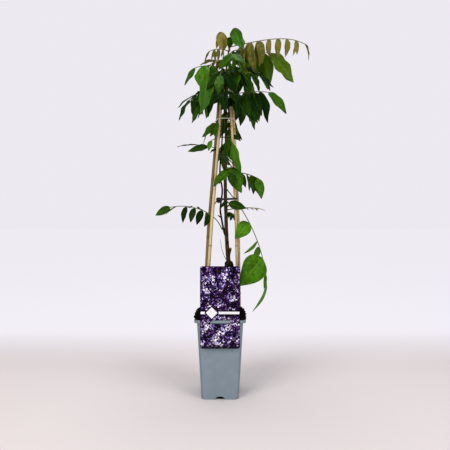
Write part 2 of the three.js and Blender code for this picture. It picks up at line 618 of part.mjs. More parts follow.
const stalkThick = 1.3;
const stalkThin = 0.9;
const rootOff = 0.5; // side leaflets start this far off the middle of the stalk, the end leaflet inside it
const aheadAt = (heading, pitch) => new THREE.Vector3(
  Math.cos(pitch) * Math.cos(heading), Math.cos(pitch) * Math.sin(heading), Math.sin(pitch));
const leftOf = (heading) => new THREE.Vector3(-Math.sin(heading), Math.cos(heading), 0);

// A stalk as a row of points, from just off its stem
function stalkOf(leaf, swing) {
  const heading = radians(leaf.heading + swing);
  const rise = radians(leaf.rise);
  const fall = radians(leaf.fall);
  const { centre, radius } = courseAt(stems[leaf.stem], leaf.height);
  const off = radius + touchGap + stalkThick * Math.abs(Math.sin(rise));
  const points = [centre.addScaledVector(aheadAt(heading, 0), off)];
  for (let i = 0; i < stalkSteps; i++) {
    const pitch = rise + (fall - rise) * ((i + 0.5) / stalkSteps) ** leaf.bow;
    points.push(points[i].clone().addScaledVector(aheadAt(heading, pitch), leaf.length / stalkSteps));
  }
  return { points, heading, tangents: tangentsOf(points) };
}

const stalkSwings = [0, 5, -5, 10, -10, 15, -15, 20, -20, 26, -26, 32, -32];
const stalkFree = 16; // a stalk needs no room from its own stem this close to it

function placeStalk(leaf) {
  for (const swing of stalkSwings) {
    const stalk = stalkOf(leaf, swing);
    const tested = spaced(stalk.points, 4);
    if (tested.every((point, i) => isFree(point, stalkThick, i < stalkFree / 4 ? leaf.stem : undefined))) {
      tested.forEach((point) => take(point, stalkThick, leaf.name));
      return stalk;
    }
  }
  throw new Error(`no room for the stalk of ${leaf.name}`);
}

// Width of a leaflet along its length: full near the root, with a long point
const bladeWidth = (u) => Math.sin(Math.PI * u ** 0.8) ** 0.8 * (1 - 0.15 * u);

// Point of a leaflet at u along it and v across it, lifted off its middle surface
function bladePoint(blade, u, v, lift = 0) {
  const out = blade.half * bladeWidth(u) * v;
  const rise = Math.abs(out) * blade.fold - blade.droop * blade.length * u * u + lift;
  return blade.root.clone()
    .addScaledVector(blade.ahead, blade.length * u)
    .addScaledVector(blade.side, out)
    .addScaledVector(blade.crown, rise);
}

// Seats of the leaflets along the stalk, in pairs with an end leaflet: 1 is the left side, -1 the right
function seatsOf(leaf) {
  if (leaf.seats) {
    return leaf.seats.map(([share, side, size, swing, spread, roll, slim]) =>
      ({ share, side, size, swing, spread, roll, slim }));
  }
  const sizeAt = (place) => 1 - (1 - leaf.first) * (1 - place) ** 2 - (1 - leaf.last) * place ** 2;
  const pairs = Array.from({ length: leaf.pairs }, (_, i) => i / leaf.pairs).flatMap((place) =>
    [1, -1].map((side) => ({ share: leaf.bare + (0.96 - leaf.bare) * place, side, size: sizeAt(place) })));
  const end = { share: 1, side: 0, size: leaf.last, roll: leaf.roll };
  return [...pairs, end].map((seat) => ({ swing: 0, spread: leaf.spread, roll: 0, ...seat }));
}

// A leaflet at a seat: swing turns it about the stalk, twist about its own rib
function bladeAt(leaf, stalk, seat, draws, swing, twist) {
  const along = seat.share * stalkSteps;
  const i = Math.min(Math.floor(along), stalkSteps - 1);
  const root = stalk.points[i].clone().lerp(stalk.points[i + 1], along - i);
  const tangent = stalk.points[i + 1].clone().sub(stalk.points[i]).normalize();
  const left = leftOf(stalk.heading);
  const stalkCrown = tangent.clone().cross(left);
  const spread = radians(seat.spread + 14 * (draws[0] - 0.5)) * seat.side;
  const ahead = tangent.clone().multiplyScalar(Math.cos(spread)).addScaledVector(left, Math.sin(spread));
  ahead.applyAxisAngle(tangent, radians(seat.swing + swing) * (seat.side || 1));
  ahead.z -= leaf.hang * (seat.side ? 1 : 0.5);
  ahead.normalize();
  const crown = stalkCrown.addScaledVector(ahead, -stalkCrown.dot(ahead)).normalize();
  crown.applyAxisAngle(ahead, radians(seat.roll + twist + 30 * (draws[1] - 0.5)));
  const length = leaf.blade * seat.size * (0.92 + 0.16 * draws[2]);
  return {
    root, ahead, crown, length,
    start: seat.share < 1 ? rootOff : -rootOff,
    side: crown.clone().cross(ahead),
    half: length * (seat.slim ?? leaf.slim) / 2,
    fold: leaf.young ? 0.5 : 0.28,
    droop: 0.1 + 0.16 * draws[3],
  };
}

const bladeSwings = [0, 12, -12, 24, -24, 36, -36, 50, -50, 64, -64];
const bladeTwists = [0, 24, -24, 48, -48];

function bladeTests(blade) {
  const count = Math.ceil(blade.length / 5);
  return Array.from({ length: count }, (_, i) => (i + 1) / count).flatMap((u) =>
    [-1, -0.5, 0, 0.5, 1].map((v) => ({ u, point: bladePoint(blade, u, v) })));
}

// The first turn of the leaflet that leaves it room, or nothing where there is none
function placeBlade(leaf, stalk, seat, draws) {
  for (const swing of bladeSwings) {
    for (const twist of bladeTwists) {
      const blade = bladeAt(leaf, stalk, seat, draws, swing, twist);
      const tests = bladeTests(blade);
      const free = Math.min(rootFree / blade.length, 0.4);
      const fits = tests.every(({ u, point }) => u < free
        || isFree(point, bladeRib, u * blade.length < 1.8 * rootFree || !seat.side ? leaf.name : undefined));
      if (fits) {
        tests.forEach(({ point }) => take(point, bladeRib, `${leaf.name}_blade`));
        return blade;
      }
    }
  }
  return null;
}

// Closed leaflet: a diamond section along the rib, down to the pointed tip
function makeBlade(blade) {
  const section = (u) => [bladePoint(blade, u, 1), bladePoint(blade, u, 0, bladeRib),
    bladePoint(blade, u, -1), bladePoint(blade, u, 0, -bladeRib)];
  const start = blade.root.clone().addScaledVector(blade.ahead, blade.start);
  const root = [[0.9, 0], [0, 0.7], [-0.9, 0], [0, -0.7]].map(([out, rise]) =>
    start.clone().addScaledVector(blade.side, out).addScaledVector(blade.crown, rise));
  const stations = blade.length > 50 ? [0.16, 0.42, 0.74] : [0.2, 0.56];
  return loft([root, ...stations.map(section), [bladePoint(blade, 1, 0)]]);
}

function makeLeaf({ stalk, blades }) {
  const radii = stalk.points.map((_, i) => THREE.MathUtils.lerp(stalkThick, stalkThin, i / stalkSteps));
  const sections = stalk.points.map((point, i) =>
    ringAround(point, stalk.tangents[i], leftOf(stalk.heading), radii[i], 4));
  // Leaflets that meet at the stalk can shut in a speck of air, a shell of negative volume, which is left out
  const shells = joined([loft(sections), ...blades.map(makeBlade)]).decompose();
  return withoutShortEdges(geometryOf(wasm.Manifold.compose(shells.filter((shell) => shell.volume() > 0))));
}

Object.values(caneCourses).forEach((course) => takeCourse(course));
Object.entries(stems).forEach(([name, course]) => takeCourse(course, name));
takeLabel();
takeLoop(ringLoop, ringWire);
takeLoop(tieLoop, tieHalfWidth);
const stalks = leaves.map(placeStalk);
leaves.forEach((leaf, number) => {
  const random = randomFrom(number + 1);
  random();
  const blades = [];
  for (const seat of seatsOf(leaf)) {
    const draws = Array.from({ length: 4 }, random);
    blades.push(placeBlade(leaf, stalks[number], seat, draws));
  }
  const kept = blades.filter(Boolean);
  const colour = leaf.young ? colours.bronze : colours.green;
  addPiece(leaf.name, makeLeaf({ stalk: stalks[number], blades: kept }), colour, 0.5);
});

export default group;
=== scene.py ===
import math
import random

import bpy
import numpy as np
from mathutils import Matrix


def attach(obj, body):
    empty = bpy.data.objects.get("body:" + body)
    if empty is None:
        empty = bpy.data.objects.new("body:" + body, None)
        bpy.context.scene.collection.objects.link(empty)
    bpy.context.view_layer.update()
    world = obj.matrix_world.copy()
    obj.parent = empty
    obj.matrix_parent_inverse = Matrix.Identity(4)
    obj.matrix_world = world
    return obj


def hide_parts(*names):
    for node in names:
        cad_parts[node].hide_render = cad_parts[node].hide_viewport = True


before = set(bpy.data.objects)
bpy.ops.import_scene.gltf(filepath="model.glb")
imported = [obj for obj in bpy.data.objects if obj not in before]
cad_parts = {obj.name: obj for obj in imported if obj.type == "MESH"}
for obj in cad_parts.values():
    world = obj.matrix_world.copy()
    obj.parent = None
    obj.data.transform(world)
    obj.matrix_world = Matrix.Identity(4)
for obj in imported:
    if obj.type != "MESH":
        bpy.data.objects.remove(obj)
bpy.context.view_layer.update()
mm = 0.001
sharpAngle = math.radians(42)


# Selection and editing
def startClean():
    if bpy.context.object and bpy.context.object.mode != "OBJECT":
        bpy.ops.object.mode_set(mode="OBJECT")
    bpy.ops.object.select_all(action="DESELECT")


def workOn(*pieces):
    startClean()
    for piece in pieces:
        piece.select_set(True)
    bpy.context.view_layer.objects.active = pieces[0]


# Edit mode with those vertices, edges or faces selected that pass the test. A vertex is tested by its place,
# an edge by both ends, a face by its middle and normal, all in millimetres.
def editWhere(piece, kind, test):
    workOn(piece)
    bpy.ops.object.mode_set(mode="EDIT")
    bpy.ops.mesh.select_mode(type=kind)
    bpy.ops.mesh.select_all(action="DESELECT")
    bpy.ops.object.mode_set(mode="OBJECT")
    mesh = piece.data
    place = [vertex.co / mm for vertex in mesh.vertices]
    if kind == "VERT":
        for vertex in mesh.vertices:
            vertex.select = test(place[vertex.index])
    elif kind == "EDGE":
        for edge in mesh.edges:
            edge.select = test(place[edge.vertices[0]], place[edge.vertices[1]])
    else:
        for face in mesh.polygons:
            face.select = test(face.center / mm, face.normal)
    bpy.ops.object.mode_set(mode="EDIT")


def applyModifier(piece, kind, **settings):
    modifier = piece.modifiers.new(kind.title(), kind)
    for name, value in settings.items():
        setattr(modifier, name, value)
    workOn(piece)
    bpy.ops.object.modifier_apply(modifier=modifier.name)


def newest(name):
    piece = bpy.context.object
    piece.name = piece.data.name = name
    return piece


def addObject(name, data):
    piece = bpy.data.objects.new(name, data)
    bpy.context.collection.objects.link(piece)
    return piece


def joinInto(piece, others):
    workOn(piece, *others)
    bpy.ops.object.join()
    return piece


def smoothed(piece, angle=sharpAngle):
    workOn(piece)
    bpy.ops.object.shade_smooth_by_angle(angle=angle)


def applyTransforms():
    bpy.ops.object.transform_apply(location=True, rotation=True, scale=True)


def turnOutwards(piece):
    workOn(piece)
    bpy.ops.object.mode_set(mode="EDIT")
    bpy.ops.mesh.select_all(action="SELECT")
    bpy.ops.mesh.normals_make_consistent(inside=False)
    bpy.ops.object.mode_set(mode="OBJECT")


# Names of their own for the pieces whose node has a one-word name. The others are called after their node.
ownNames = {"pot": "nurseryPot", "soil": "pottingSoil", "stem": "woodyStem", "label": "printedLabel"}


def finishPiece(piece, material, node):
    first, *rest = node.split("_")
    piece.name = ownNames.get(node, first + "".join(word.title() for word in rest))
    piece.data.name = piece.name
    piece.data.materials.clear()
    piece.data.materials.append(material)
    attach(piece, "root")
    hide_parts(node)


# Points and radii of a course, rounded off by a smooth curve through its points, one point every step
def rounded(points, radii, step):
    points = np.array(points, float)
    radii = np.array(radii, float)
    ends = np.vstack([2 * points[0] - points[1], points, 2 * points[-1] - points[-2]])
    fine, thick = [points[0]], [radii[0]]
    for i in range(len(points) - 1):
        a, b, c, d = ends[i:i + 4]
        count = max(1, round(float(np.linalg.norm(c - b)) / step))
        for j in range(1, count + 1):
            t = j / count
            fine.append(0.5 * (2 * b + (c - a) * t + (2 * a - 5 * b + 4 * c - d) * t ** 2
                               + (3 * b - a - 3 * c + d) * t ** 3))
            thick.append(radii[i] + (radii[i + 1] - radii[i]) * t)
    return np.array(fine), np.array(thick)


# Rows of x, y, z and radius, as points and radii
def splitRows(rows):
    return [row[:3] for row in rows], [row[3] for row in rows]


# Round tube along points in millimetres: a curve with a round bevel, made a closed mesh
def makeTube(name, points, radii, roundness=3, cyclic=False):
    curve = bpy.data.curves.new(name, "CURVE")
    curve.dimensions = "3D"
    curve.bevel_depth = mm
    curve.bevel_resolution = roundness
    curve.use_fill_caps = True
    spline = curve.splines.new("POLY")
    spline.points.add(len(points) - 1)
    for dot, point, radius in zip(spline.points, points, radii):
        dot.co = (*[value * mm for value in point], 1)
        dot.radius = radius
    spline.use_cyclic_u = cyclic
    workOn(addObject(name, curve))
    bpy.ops.object.convert(target="MESH")
    piece = newest(name)
    editWhere(piece, "VERT", lambda place: True)
    bpy.ops.mesh.remove_doubles(threshold=0.01 * mm)
    turnOutwards(piece)
    return piece


# 1 in the middle, falling off smoothly to both sides
def bell(off, width):
    return np.exp(-(off / width) ** 2)


# One value per vertex for a material to read
def keepValues(piece, name, values):
    attribute = piece.data.attributes.new(name, "FLOAT", "POINT")
    attribute.data.foreach_set("value", np.asarray(values, np.float32))


def placesOf(piece):
    places = np.empty(3 * len(piece.data.vertices))
    piece.data.vertices.foreach_get("co", places)
    return places.reshape(-1, 3) / mm


def setPlaces(piece, places):
    piece.data.vertices.foreach_set("co", (places * mm).ravel())
    piece.data.update()


# Materials
def colourOf(hexText):
    channels = [int(hexText[i:i + 2], 16) / 255 for i in (1, 3, 5)]
    linear = [c / 12.92 if c <= 0.04045 else ((c + 0.055) / 1.055) ** 2.4 for c in channels]
    return (*linear, 1)


# Adds a node. Inputs are given by name or number, as a value or as the socket that feeds them.
def addNode(tree, kind, inputs=None, **settings):
    node = tree.nodes.new(kind)
    for name, value in settings.items():
        setattr(node, name, value)
    for name, value in (inputs or {}).items():
        if isinstance(value, bpy.types.NodeSocket):
            tree.links.new(value, node.inputs[name])
        else:
            node.inputs[name].default_value = value
    return node


# A new material, as rough and as shiny as its look says
def newMaterial(name, look):
    material = bpy.data.materials.new(name)
    material.use_nodes = True
    tree = material.node_tree
    surface = tree.nodes["Principled BSDF"]
    surface.inputs["Roughness"].default_value = look["roughness"]
    surface.inputs["Specular IOR Level"].default_value = look["sheen"]
    return material, tree, surface


def paint(tree, surface, colour):
    tree.links.new(colour, surface.inputs["Base Color"])


def calc(tree, operation, first, second=0.0, third=0.0):
    return addNode(tree, "ShaderNodeMath", {0: first, 1: second, 2: third}, operation=operation).outputs[0]


def distanceOf(tree, first, second):
    return calc(tree, "ABSOLUTE", calc(tree, "SUBTRACT", first, second))


# 0 below low, 1 above high, smooth between
def ease(tree, value, low, high):
    return addNode(tree, "ShaderNodeMapRange", {"Value": value, "From Min": low, "From Max": high},
                   interpolation_type="SMOOTHSTEP").outputs[0]


# The same along a span of two places in millimetres
def easeAlong(tree, value, span):
    return ease(tree, value, span[0] * mm, span[1] * mm)


def blendColours(tree, share, first, second):
    low, high = [colourOf(colour) if isinstance(colour, str) else colour for colour in (first, second)]
    return addNode(tree, "ShaderNodeMix", {0: share, 6: low, 7: high}, data_type="RGBA").outputs[2]


# Colours of a look laid over a first colour, each as far as its share says
def layered(tree, look, colour, *layers):
    for share, name in layers:
        colour = blendColours(tree, share, colour, look[name])
    return colour


# Noise whose grain is given in millimetres
def noiseAt(tree, places, grain, detail=3.0, rough=0.5):
    return addNode(tree, "ShaderNodeTexNoise", {"Vector": places, "Scale": 1 / (grain * mm), "Detail": detail,
                                                "Roughness": rough}).outputs["Fac"]


# Patches of that grain: none where the noise is below low, full where it is above high
def patches(tree, places, grain, low, high, detail=3.0):
    return ease(tree, noiseAt(tree, places, grain, detail), low, high)


# Bumps as deep as given, in millimetres
def relief(tree, surface, height, depth, strength=1.0):
    bump = addNode(tree, "ShaderNodeBump", {"Height": height, "Distance": depth * mm, "Strength": strength})
    tree.links.new(bump.outputs["Normal"], surface.inputs["Normal"])


def objectPlaces(tree):
    return addNode(tree, "ShaderNodeTexCoord").outputs["Object"]


# Places drawn out upwards, so that noise runs along the grain of wood
def grainPlaces(tree, places, squeeze):
    return addNode(tree, "ShaderNodeMapping", {"Vector": places, "Scale": (1, 1, squeeze)}).outputs[0]


def valueOf(tree, name):
    return addNode(tree, "ShaderNodeAttribute", attribute_name=name).outputs["Fac"]


# The three parts of a vector, each a socket
def partsOf(tree, vector):
    return list(addNode(tree, "ShaderNodeSeparateXYZ", {0: vector}).outputs)


def facingOf(tree):
    return partsOf(tree, addNode(tree, "ShaderNodeNewGeometry").outputs["Normal"])


print("stage: helpers ready")

# Pot: polypropylene, injection moulded with a fine matt texture, so the light spreads softly on it
# The darker grey on the upright corners is painted shade
potLook = {"colour": "#82929e", "worn": "#93a1ad", "dirt": "#56616b", "roughness": 0.46, "sheen": 0.5,
           "wornGrain": 26, "wornShare": 0.35, "mouldGrain": 0.9, "mouldDepth": 0.05, "cornerShadeSpan": (7, 3.2),
           "cornerShadeShare": 0.4}
potForm = {"halfFoot": 46.5, "halfTop": 57.0, "height": 197.0, "lipHalf": 63.0, "lipDrop": 6.5,
           "lipThick": 2.0, "lipRound": 0.8, "wall": 1.6, "corner": 11.0, "footSlice": 0.6, "edgeRound": 0.5,
           "drainRadius": 4.0, "drainOffset": 30.0, "archWidth": 22.6, "archRise": 6.0, "archMiddle": 1.8}


def pottingPlastic():
    look = potLook
    material, tree, surface = newMaterial("Moulded grey polypropylene", look)
    places = objectPlaces(tree)
    worn = calc(tree, "MULTIPLY", patches(tree, places, look["wornGrain"], 0.35, 0.75, 2), look["wornShare"])
    # Painted shade darkens the upright corners, where both distances from the middle are large
    x, y, z = partsOf(tree, places)
    narrow = calc(tree, "MINIMUM", calc(tree, "ABSOLUTE", x), calc(tree, "ABSOLUTE", y))
    lean = (potForm["halfTop"] - potForm["halfFoot"]) / potForm["height"]
    inset = calc(tree, "SUBTRACT", calc(tree, "MULTIPLY_ADD", z, lean, potForm["halfFoot"] * mm), narrow)
    shadedCorners = calc(tree, "MULTIPLY", easeAlong(tree, inset, look["cornerShadeSpan"]), look["cornerShadeShare"])
    paint(tree, surface, layered(tree, look, look["colour"], (worn, "worn"), (shadedCorners, "dirt")))
    # The mould's grain is finer, and is drawn coarse enough to show
    relief(tree, surface, noiseAt(tree, places, look["mouldGrain"], 2), look["mouldDepth"], 0.5)
    return material


# Extrudes what is selected, lifts it, and moves its corners apart without changing their rounding
def stepOut(piece, lift, spread):
    bpy.ops.mesh.extrude_region_move(TRANSFORM_OT_translate={"value": (0, 0, lift * mm)})
    bpy.ops.object.mode_set(mode="OBJECT")
    for vertex in piece.data.vertices:
        if vertex.select:
            vertex.co.x += math.copysign(mm, vertex.co.x) * spread
            vertex.co.y += math.copysign(mm, vertex.co.y) * spread
    bpy.ops.object.mode_set(mode="EDIT")


def makePot():
    form = potForm
    top, half, wall = form["height"], form["halfFoot"], form["wall"]
    under, foot, edge = top - form["lipThick"], form["footSlice"], form["lipRound"]
    startClean()
    bpy.ops.mesh.primitive_cube_add(size=2 * half * mm, location=(0, 0, half * mm))
    pot = newest("pot")
    applyTransforms()
    editWhere(pot, "EDGE", lambda a, b: abs(a.z - b.z) > 1)
    bpy.ops.mesh.bevel(offset=form["corner"] * mm, segments=7, affect="EDGES")
    # The block is pressed to a slice of the foot, and the wall and lip are drawn out of its upper face
    editWhere(pot, "FACE", lambda middle, normal: normal.z > 0.9)
    bpy.ops.transform.translate(value=(0, 0, (foot - 2 * half) * mm))
    lipInside = form["lipHalf"] - wall
    inside = form["halfTop"] - wall
    steps = [(under - foot, form["halfTop"] - half), (0, lipInside - form["halfTop"]),
             (top - form["lipDrop"] - under, 0), (0, wall), (form["lipDrop"] - edge, 0), (edge, -edge),
             (0, inside - form["lipHalf"] + edge), (wall - top, half - form["halfTop"])]
    for lift, spread in steps:
        stepOut(pot, lift, spread)
    bpy.ops.object.mode_set(mode="OBJECT")
    cutters = []
    for side in range(2):
        bpy.ops.mesh.primitive_cylinder_add(vertices=40, radius=form["archWidth"] / 2 * mm, depth=0.2,
                                            location=(0, 0, form["archMiddle"] * mm),
                                            rotation=(math.pi / 2, 0, side * math.pi / 2))
        cutters.append(newest("archCutter"))
        cutters[-1].scale = (1, 2 * form["archRise"] / form["archWidth"], 1)
        applyTransforms()
    for x, y in ((1, 1), (-1, 1), (-1, -1), (1, -1)):
        place = (x * form["drainOffset"] * mm, y * form["drainOffset"] * mm, 0)
        bpy.ops.mesh.primitive_cylinder_add(vertices=24, radius=form["drainRadius"] * mm, depth=8 * mm,
                                            location=place)
        applyTransforms()
        cutters.append(newest("drainCutter"))
    applyModifier(pot, "BEVEL", width=form["edgeRound"] * mm, segments=2, limit_method="ANGLE",
                  angle_limit=math.radians(35))
    for cutter in cutters:
        applyModifier(pot, "BOOLEAN", object=cutter, operation="DIFFERENCE", solver="EXACT")
        bpy.data.objects.remove(cutter)
    smoothed(pot)
    finishPiece(pot, pottingPlastic(), "pot")


makePot()
print("stage: pot")

# Canes: split-free tonkin bamboo, dried, with a hard shiny rind, swollen nodes and sawn ends
canes = {
    "cane_front_left": [[-42, -40, 120, 4.2], [-36, -35.5, 205, 4.2], [-22, -27, 425, 4.1],
                        [-7, -18, 610, 3.8], [6, -9, 795, 3.3]],
    "cane_front_right": [[45, -40, 120, 4.2], [45, -35.5, 205, 4.2], [40.5, -27, 425, 4.1],
                         [33, -18, 610, 3.8], [23, -9, 795, 3.3]],
    "cane_back_left": [[-46, 42, 140, 4.2], [-43.5, 38, 205, 4.2], [-31, 27, 425, 4.1],
                       [-15, 18, 610, 3.8], [-1, 11, 790, 3.3]],
    "cane_back_right": [[47, 41, 140, 4.2], [50, 38, 205, 4.2], [47, 27, 425, 4.1],
                        [39, 18, 610, 3.8], [30, 11, 790, 3.3]],
}
caneForm = {"nodeSpacing": 150, "nodeSwell": 0.7, "step": 20, "half": 4.2, "sawnEdge": 1.2}
# How far a node swells at each height above and below it
nodeProfile = {-6: 0, -3: 0.05, -1.2: 0.35, -0.4: 0.7, 0.2: 0.62, 1.0: 0.1, 2.2: 0.3, 5: 0.05}
# How brown each cane is from weathering; the back left cane is darker also as painted shade, as it stands
# behind the others
caneAgeAndShade = {"cane_front_left": 0.0, "cane_front_right": 0.2, "cane_back_left": 0.78, "cane_back_right": 0.0}
caneLook = {"rind": "#dcc892", "shade": "#b98f52", "brown": "#6c5633", "node": "#5f4526", "roughness": 0.34,
            "sheen": 0.2}


# Where a course passes a height, and how wide it is there
def courseAt(rows, z):
    i = max(1, next((k for k, row in enumerate(rows) if row[2] >= z), 0))
    low, high = rows[i - 1], rows[i]
    share = (z - low[2]) / (high[2] - low[2])
    return [low[k] + (high[k] - low[k]) * share for k in range(4)]


def caneNodeHeights(rows):
    heights = []
    z = rows[0][2] + 0.7 * caneForm["nodeSpacing"]
    while z < rows[-1][2] - 10:
        heights.append(z)
        z += caneForm["nodeSpacing"]
    return heights


# The cane's course in the frame, with a swollen node every nodeSpacing of its height
def caneCourse(rows):
    nodes = []
    for z in caneNodeHeights(rows):
        for rise, swell in ((-3, 0), (0, caneForm["nodeSwell"]), (3, 0)):
            x, y, _, radius = courseAt(rows, z + rise)
            nodes.append([x, y, z + rise, radius + swell])
    return sorted(rows + nodes, key=lambda row: row[2])


def bambooRind():
    look = caneLook
    material, tree, surface = newMaterial("Dried bamboo rind", look)
    places = objectPlaces(tree)
    fibre = noiseAt(tree, grainPlaces(tree, places, 0.03), 1.3, 3)
    blotched = patches(tree, places, 34, 0.48, 0.78)
    streaked = calc(tree, "MULTIPLY", ease(tree, fibre, 0.5, 0.8), 0.45)
    # Brown comes from weathering, and from painted shade on the sides and on the back left cane
    paint(tree, surface, layered(tree, look, look["rind"], (blotched, "shade"), (streaked, "shade"),
                                 (valueOf(tree, "weatheredAndShaded"), "brown"), (valueOf(tree, "nearNode"), "node")))
    relief(tree, surface, fibre, 0.12, 0.5)
    return material


def makeCane(name, rows, material):
    heights = caneNodeHeights(rows)
    foot, top, step = rows[0][2], rows[-1][2], caneForm["step"]
    marks = {foot, top - caneForm["sawnEdge"], top, *np.arange(foot + step, top - 4, step)}
    marks.update(height + rise for height in heights for rise in nodeProfile)
    course = []
    for mark in sorted(marks):
        x, y, _, radius = courseAt(rows, mark)
        swell = next((nodeProfile.get(round(mark - h, 1), 0) for h in heights if abs(mark - h) < 6.5), 0)
        course.append([x, y, mark, radius + (swell if mark < top else -0.5)])
    cane = makeTube(name, *splitRows(course), 5)
    places = placesOf(cane)
    dark = sum(0.85 * bell(places[:, 2] - height - 0.9, 1.1) for height in heights)
    dark += 0.6 * (places[:, 2] > top - 0.6)
    keepValues(cane, "nearNode", np.clip(dark, 0, 1))
    # Painted shade: the sides are browner than the front, as a round cane's sides turn from the light, most
    # of all the right side, away from the key lamp
    middle = np.array([courseAt(rows, min(place[2], top))[0] for place in places])
    toShade = (places[:, 0] - middle) / caneForm["half"]
    sides = 0.85 * np.abs(toShade) ** 3 + 0.45 * np.clip(toShade, 0, 1) ** 1.6
    keepValues(cane, "weatheredAndShaded", (caneAgeAndShade[name] + sides).clip(0, 0.92))
    smoothed(cane)
    finishPiece(cane, material, name)


bamboo = bambooRind()
for caneName, caneRows in canes.items():
    makeCane(caneName, caneRows, bamboo)
print("stage: canes")

# Stem: young wisteria bark, thin and smooth with fine furrows, so it is dull with faint streaks
mainStem = [[22, 3, 112, 3.2], [22, 3, 197, 5], [23, 2, 290, 6.2], [23, 2, 306, 10.5], [22.5, 1, 322, 12],
            [21.5, 1, 331, 10.5], [20.8, 0, 336, 5.6], [16.5, 0, 388, 5], [14.5, 0, 452, 4.6],
            [12.8, 0, 524, 4.3], [14, 0, 600, 3.9], [15, 0, 660, 3.6], [14, 0, 720, 3.2], [13, 0, 780, 2.8],
            [16, -1, 830, 2.4], [21, -3, 868, 1.9], [25, -4, 889, 1.4]]
sideStem = [[16.2, 0, 393, 2.4], [9, -3, 412, 2.5], [1.7, -4, 452, 2.4], [0, -5, 466, 2.3],
            [1.7, -5, 485, 2.3], [5, -5, 517, 2.2], [-1, -7, 560, 2.1], [3, -9, 620, 1.9], [8, -8, 690, 1.7],
            [11, -10, 735, 1.5], [14, -13, 772, 1.2]]
stems = {"main": mainStem, "side": sideStem}
stubs = [([20, -1, 340], [26.6, -4, 369], 3.3), ([1.2, -4, 446], [-6, -6, 452], 1.5),
         ([14, 0, 470], [22, 4, 478], 1.8)]
dryTwig = [[18, -2, 334], [10, -4, 348], [4, -5, 366], [-0.5, -5, 391]]
barkForm = {"lumps": 0.22, "folds": 0.8, "graftHeight": 320, "graftReach": 11}
barkLook = {"bark": "#5a4522", "olive": "#43401f", "dark": "#100906", "cut": "#a08a5c", "roughness": 0.72,
            "sheen": 0.06}


def youngBark():
    look = barkLook
    material, tree, surface = newMaterial("Young wisteria bark", look)
    places = objectPlaces(tree)
    furrow = noiseAt(tree, grainPlaces(tree, places, 0.12), 1.6, 4, 0.6)
    blotched = patches(tree, places, 14, 0.42, 0.62)
    furrowed = ease(tree, furrow, 0.42, 0.6)
    paint(tree, surface, layered(tree, look, look["bark"], (blotched, "olive"), (furrowed, "dark"),
                                 (valueOf(tree, "darkBark"), "dark"), (valueOf(tree, "cutWood"), "cut")))
    relief(tree, surface, furrow, 0.5, 0.8)
    return material


# How dark the bark is, and how much of it is cut wood, for each vertex or for all alike
def keepBark(piece, dark, cutWood=0.0):
    count = len(piece.data.vertices)
    keepValues(piece, "darkBark", np.broadcast_to(dark, count))
    keepValues(piece, "cutWood", np.broadcast_to(cutWood, count))


def makeStem():
    trunk = makeTube("stem", *rounded(*splitRows(mainStem), 4), 6)
    places = placesOf(trunk)
    # Bark relief: slow lumps, and rough folds on the swollen graft
    lumps = np.array([math.sin(p[2] * 0.21 + p[0]) * math.cos(p[2] * 0.083) for p in places])
    graft = bell(places[:, 2] - barkForm["graftHeight"], barkForm["graftReach"])
    folds = np.sin(places[:, 2] * 0.9 + 0.6 * places[:, 0]) * np.cos(places[:, 1] * 0.8)
    foot, top = mainStem[0][2], mainStem[-1][2]
    middle = np.array([courseAt(mainStem, min(max(p[2], foot + 0.5), top - 1))[:2] for p in places])
    outward = places[:, :2] - middle
    outward /= np.maximum(np.linalg.norm(outward, axis=1), 0.2)[:, None]
    places[:, :2] += outward * (barkForm["lumps"] * lumps + barkForm["folds"] * graft * folds)[:, None]
    setPlaces(trunk, places)
    keepBark(trunk, np.clip(1.2 * graft, 0, 0.9))
    limb = makeTube("sideStem", *rounded(*splitRows(sideStem), 4), 4)
    keepBark(limb, 0.75)
    limbs = [limb]
    for start, end, radius in stubs:
        start, end = np.array(start), np.array(end)
        way = [start, start + (end - start) * 0.5, start + (end - start) * 0.86, end]
        stub = makeTube("stub", way, [radius * 1.15, radius * 0.95, radius, radius * 0.82], 4)
        along = (placesOf(stub) - start) @ (end - start) / np.sum((end - start) ** 2)
        keepBark(stub, 0.4, along > 0.97)
        limbs.append(stub)
    twig = makeTube("twig", *rounded(dryTwig, [0.9, 0.7, 0.6, 0.45], 3), 2)
    keepBark(twig, 0.5, 0.3)
    joinInto(trunk, limbs + [twig])
    smoothed(trunk)
    finishPiece(trunk, youngBark(), "stem")


makeStem()
print("stage: stem")

# Soil: moist black peat, crumbled by hand, so nearly all light is lost between the crumbs
soilForm = {"level": 202, "mound": 6, "spread": 60.5, "overLip": 197.4, "insideTop": 55.0, "insideFoot": 44.4,
            "floor": 2.0, "heapX": 50, "heapY": 12, "heapSpread": 13, "heapHeight": 6, "crumbs": 900,
            "lumps": 110, "spilled": 60}
soilLook = {"peat": "#060405", "dry": "#171315", "crust": "#281f18", "roughness": 0.95, "sheen": 0.02}


def moistPeat():
    look = soilLook
    material, tree, surface = newMaterial("Moist peat", look)
    places = objectPlaces(tree)
    grains = noiseAt(tree, places, 3.5, 4, 0.6)
    pale = ease(tree, grains, 0.45, 0.75)
    # Grains that face up have begun to dry
    dried = calc(tree, "MULTIPLY", ease(tree, grains, 0.4, 0.6), ease(tree, facingOf(tree)[2], 0.55, 0.95))
    paint(tree, surface, layered(tree, look, look["peat"], (pale, "dry"), (dried, "crust")))
    relief(tree, surface, noiseAt(tree, places, 1.6, 4, 0.7), 0.8)
    return material


def soilHeight(x, y):
    form = soilForm
    fromMiddle = max(abs(x), abs(y)) / form["spread"]
    mound = form["mound"] * (1 - fromMiddle ** 2)
    lumps = 1.3 * math.sin(x * 0.31 + 1) * math.cos(y * 0.27) + 0.8 * math.sin(x * 0.12 - y * 0.19)
    reach = ((x - form["heapX"]) ** 2 + (y - form["heapY"]) ** 2) / (2 * form["heapSpread"] ** 2)
    return form["level"] + mound + lumps + form["heapHeight"] * math.exp(-reach)


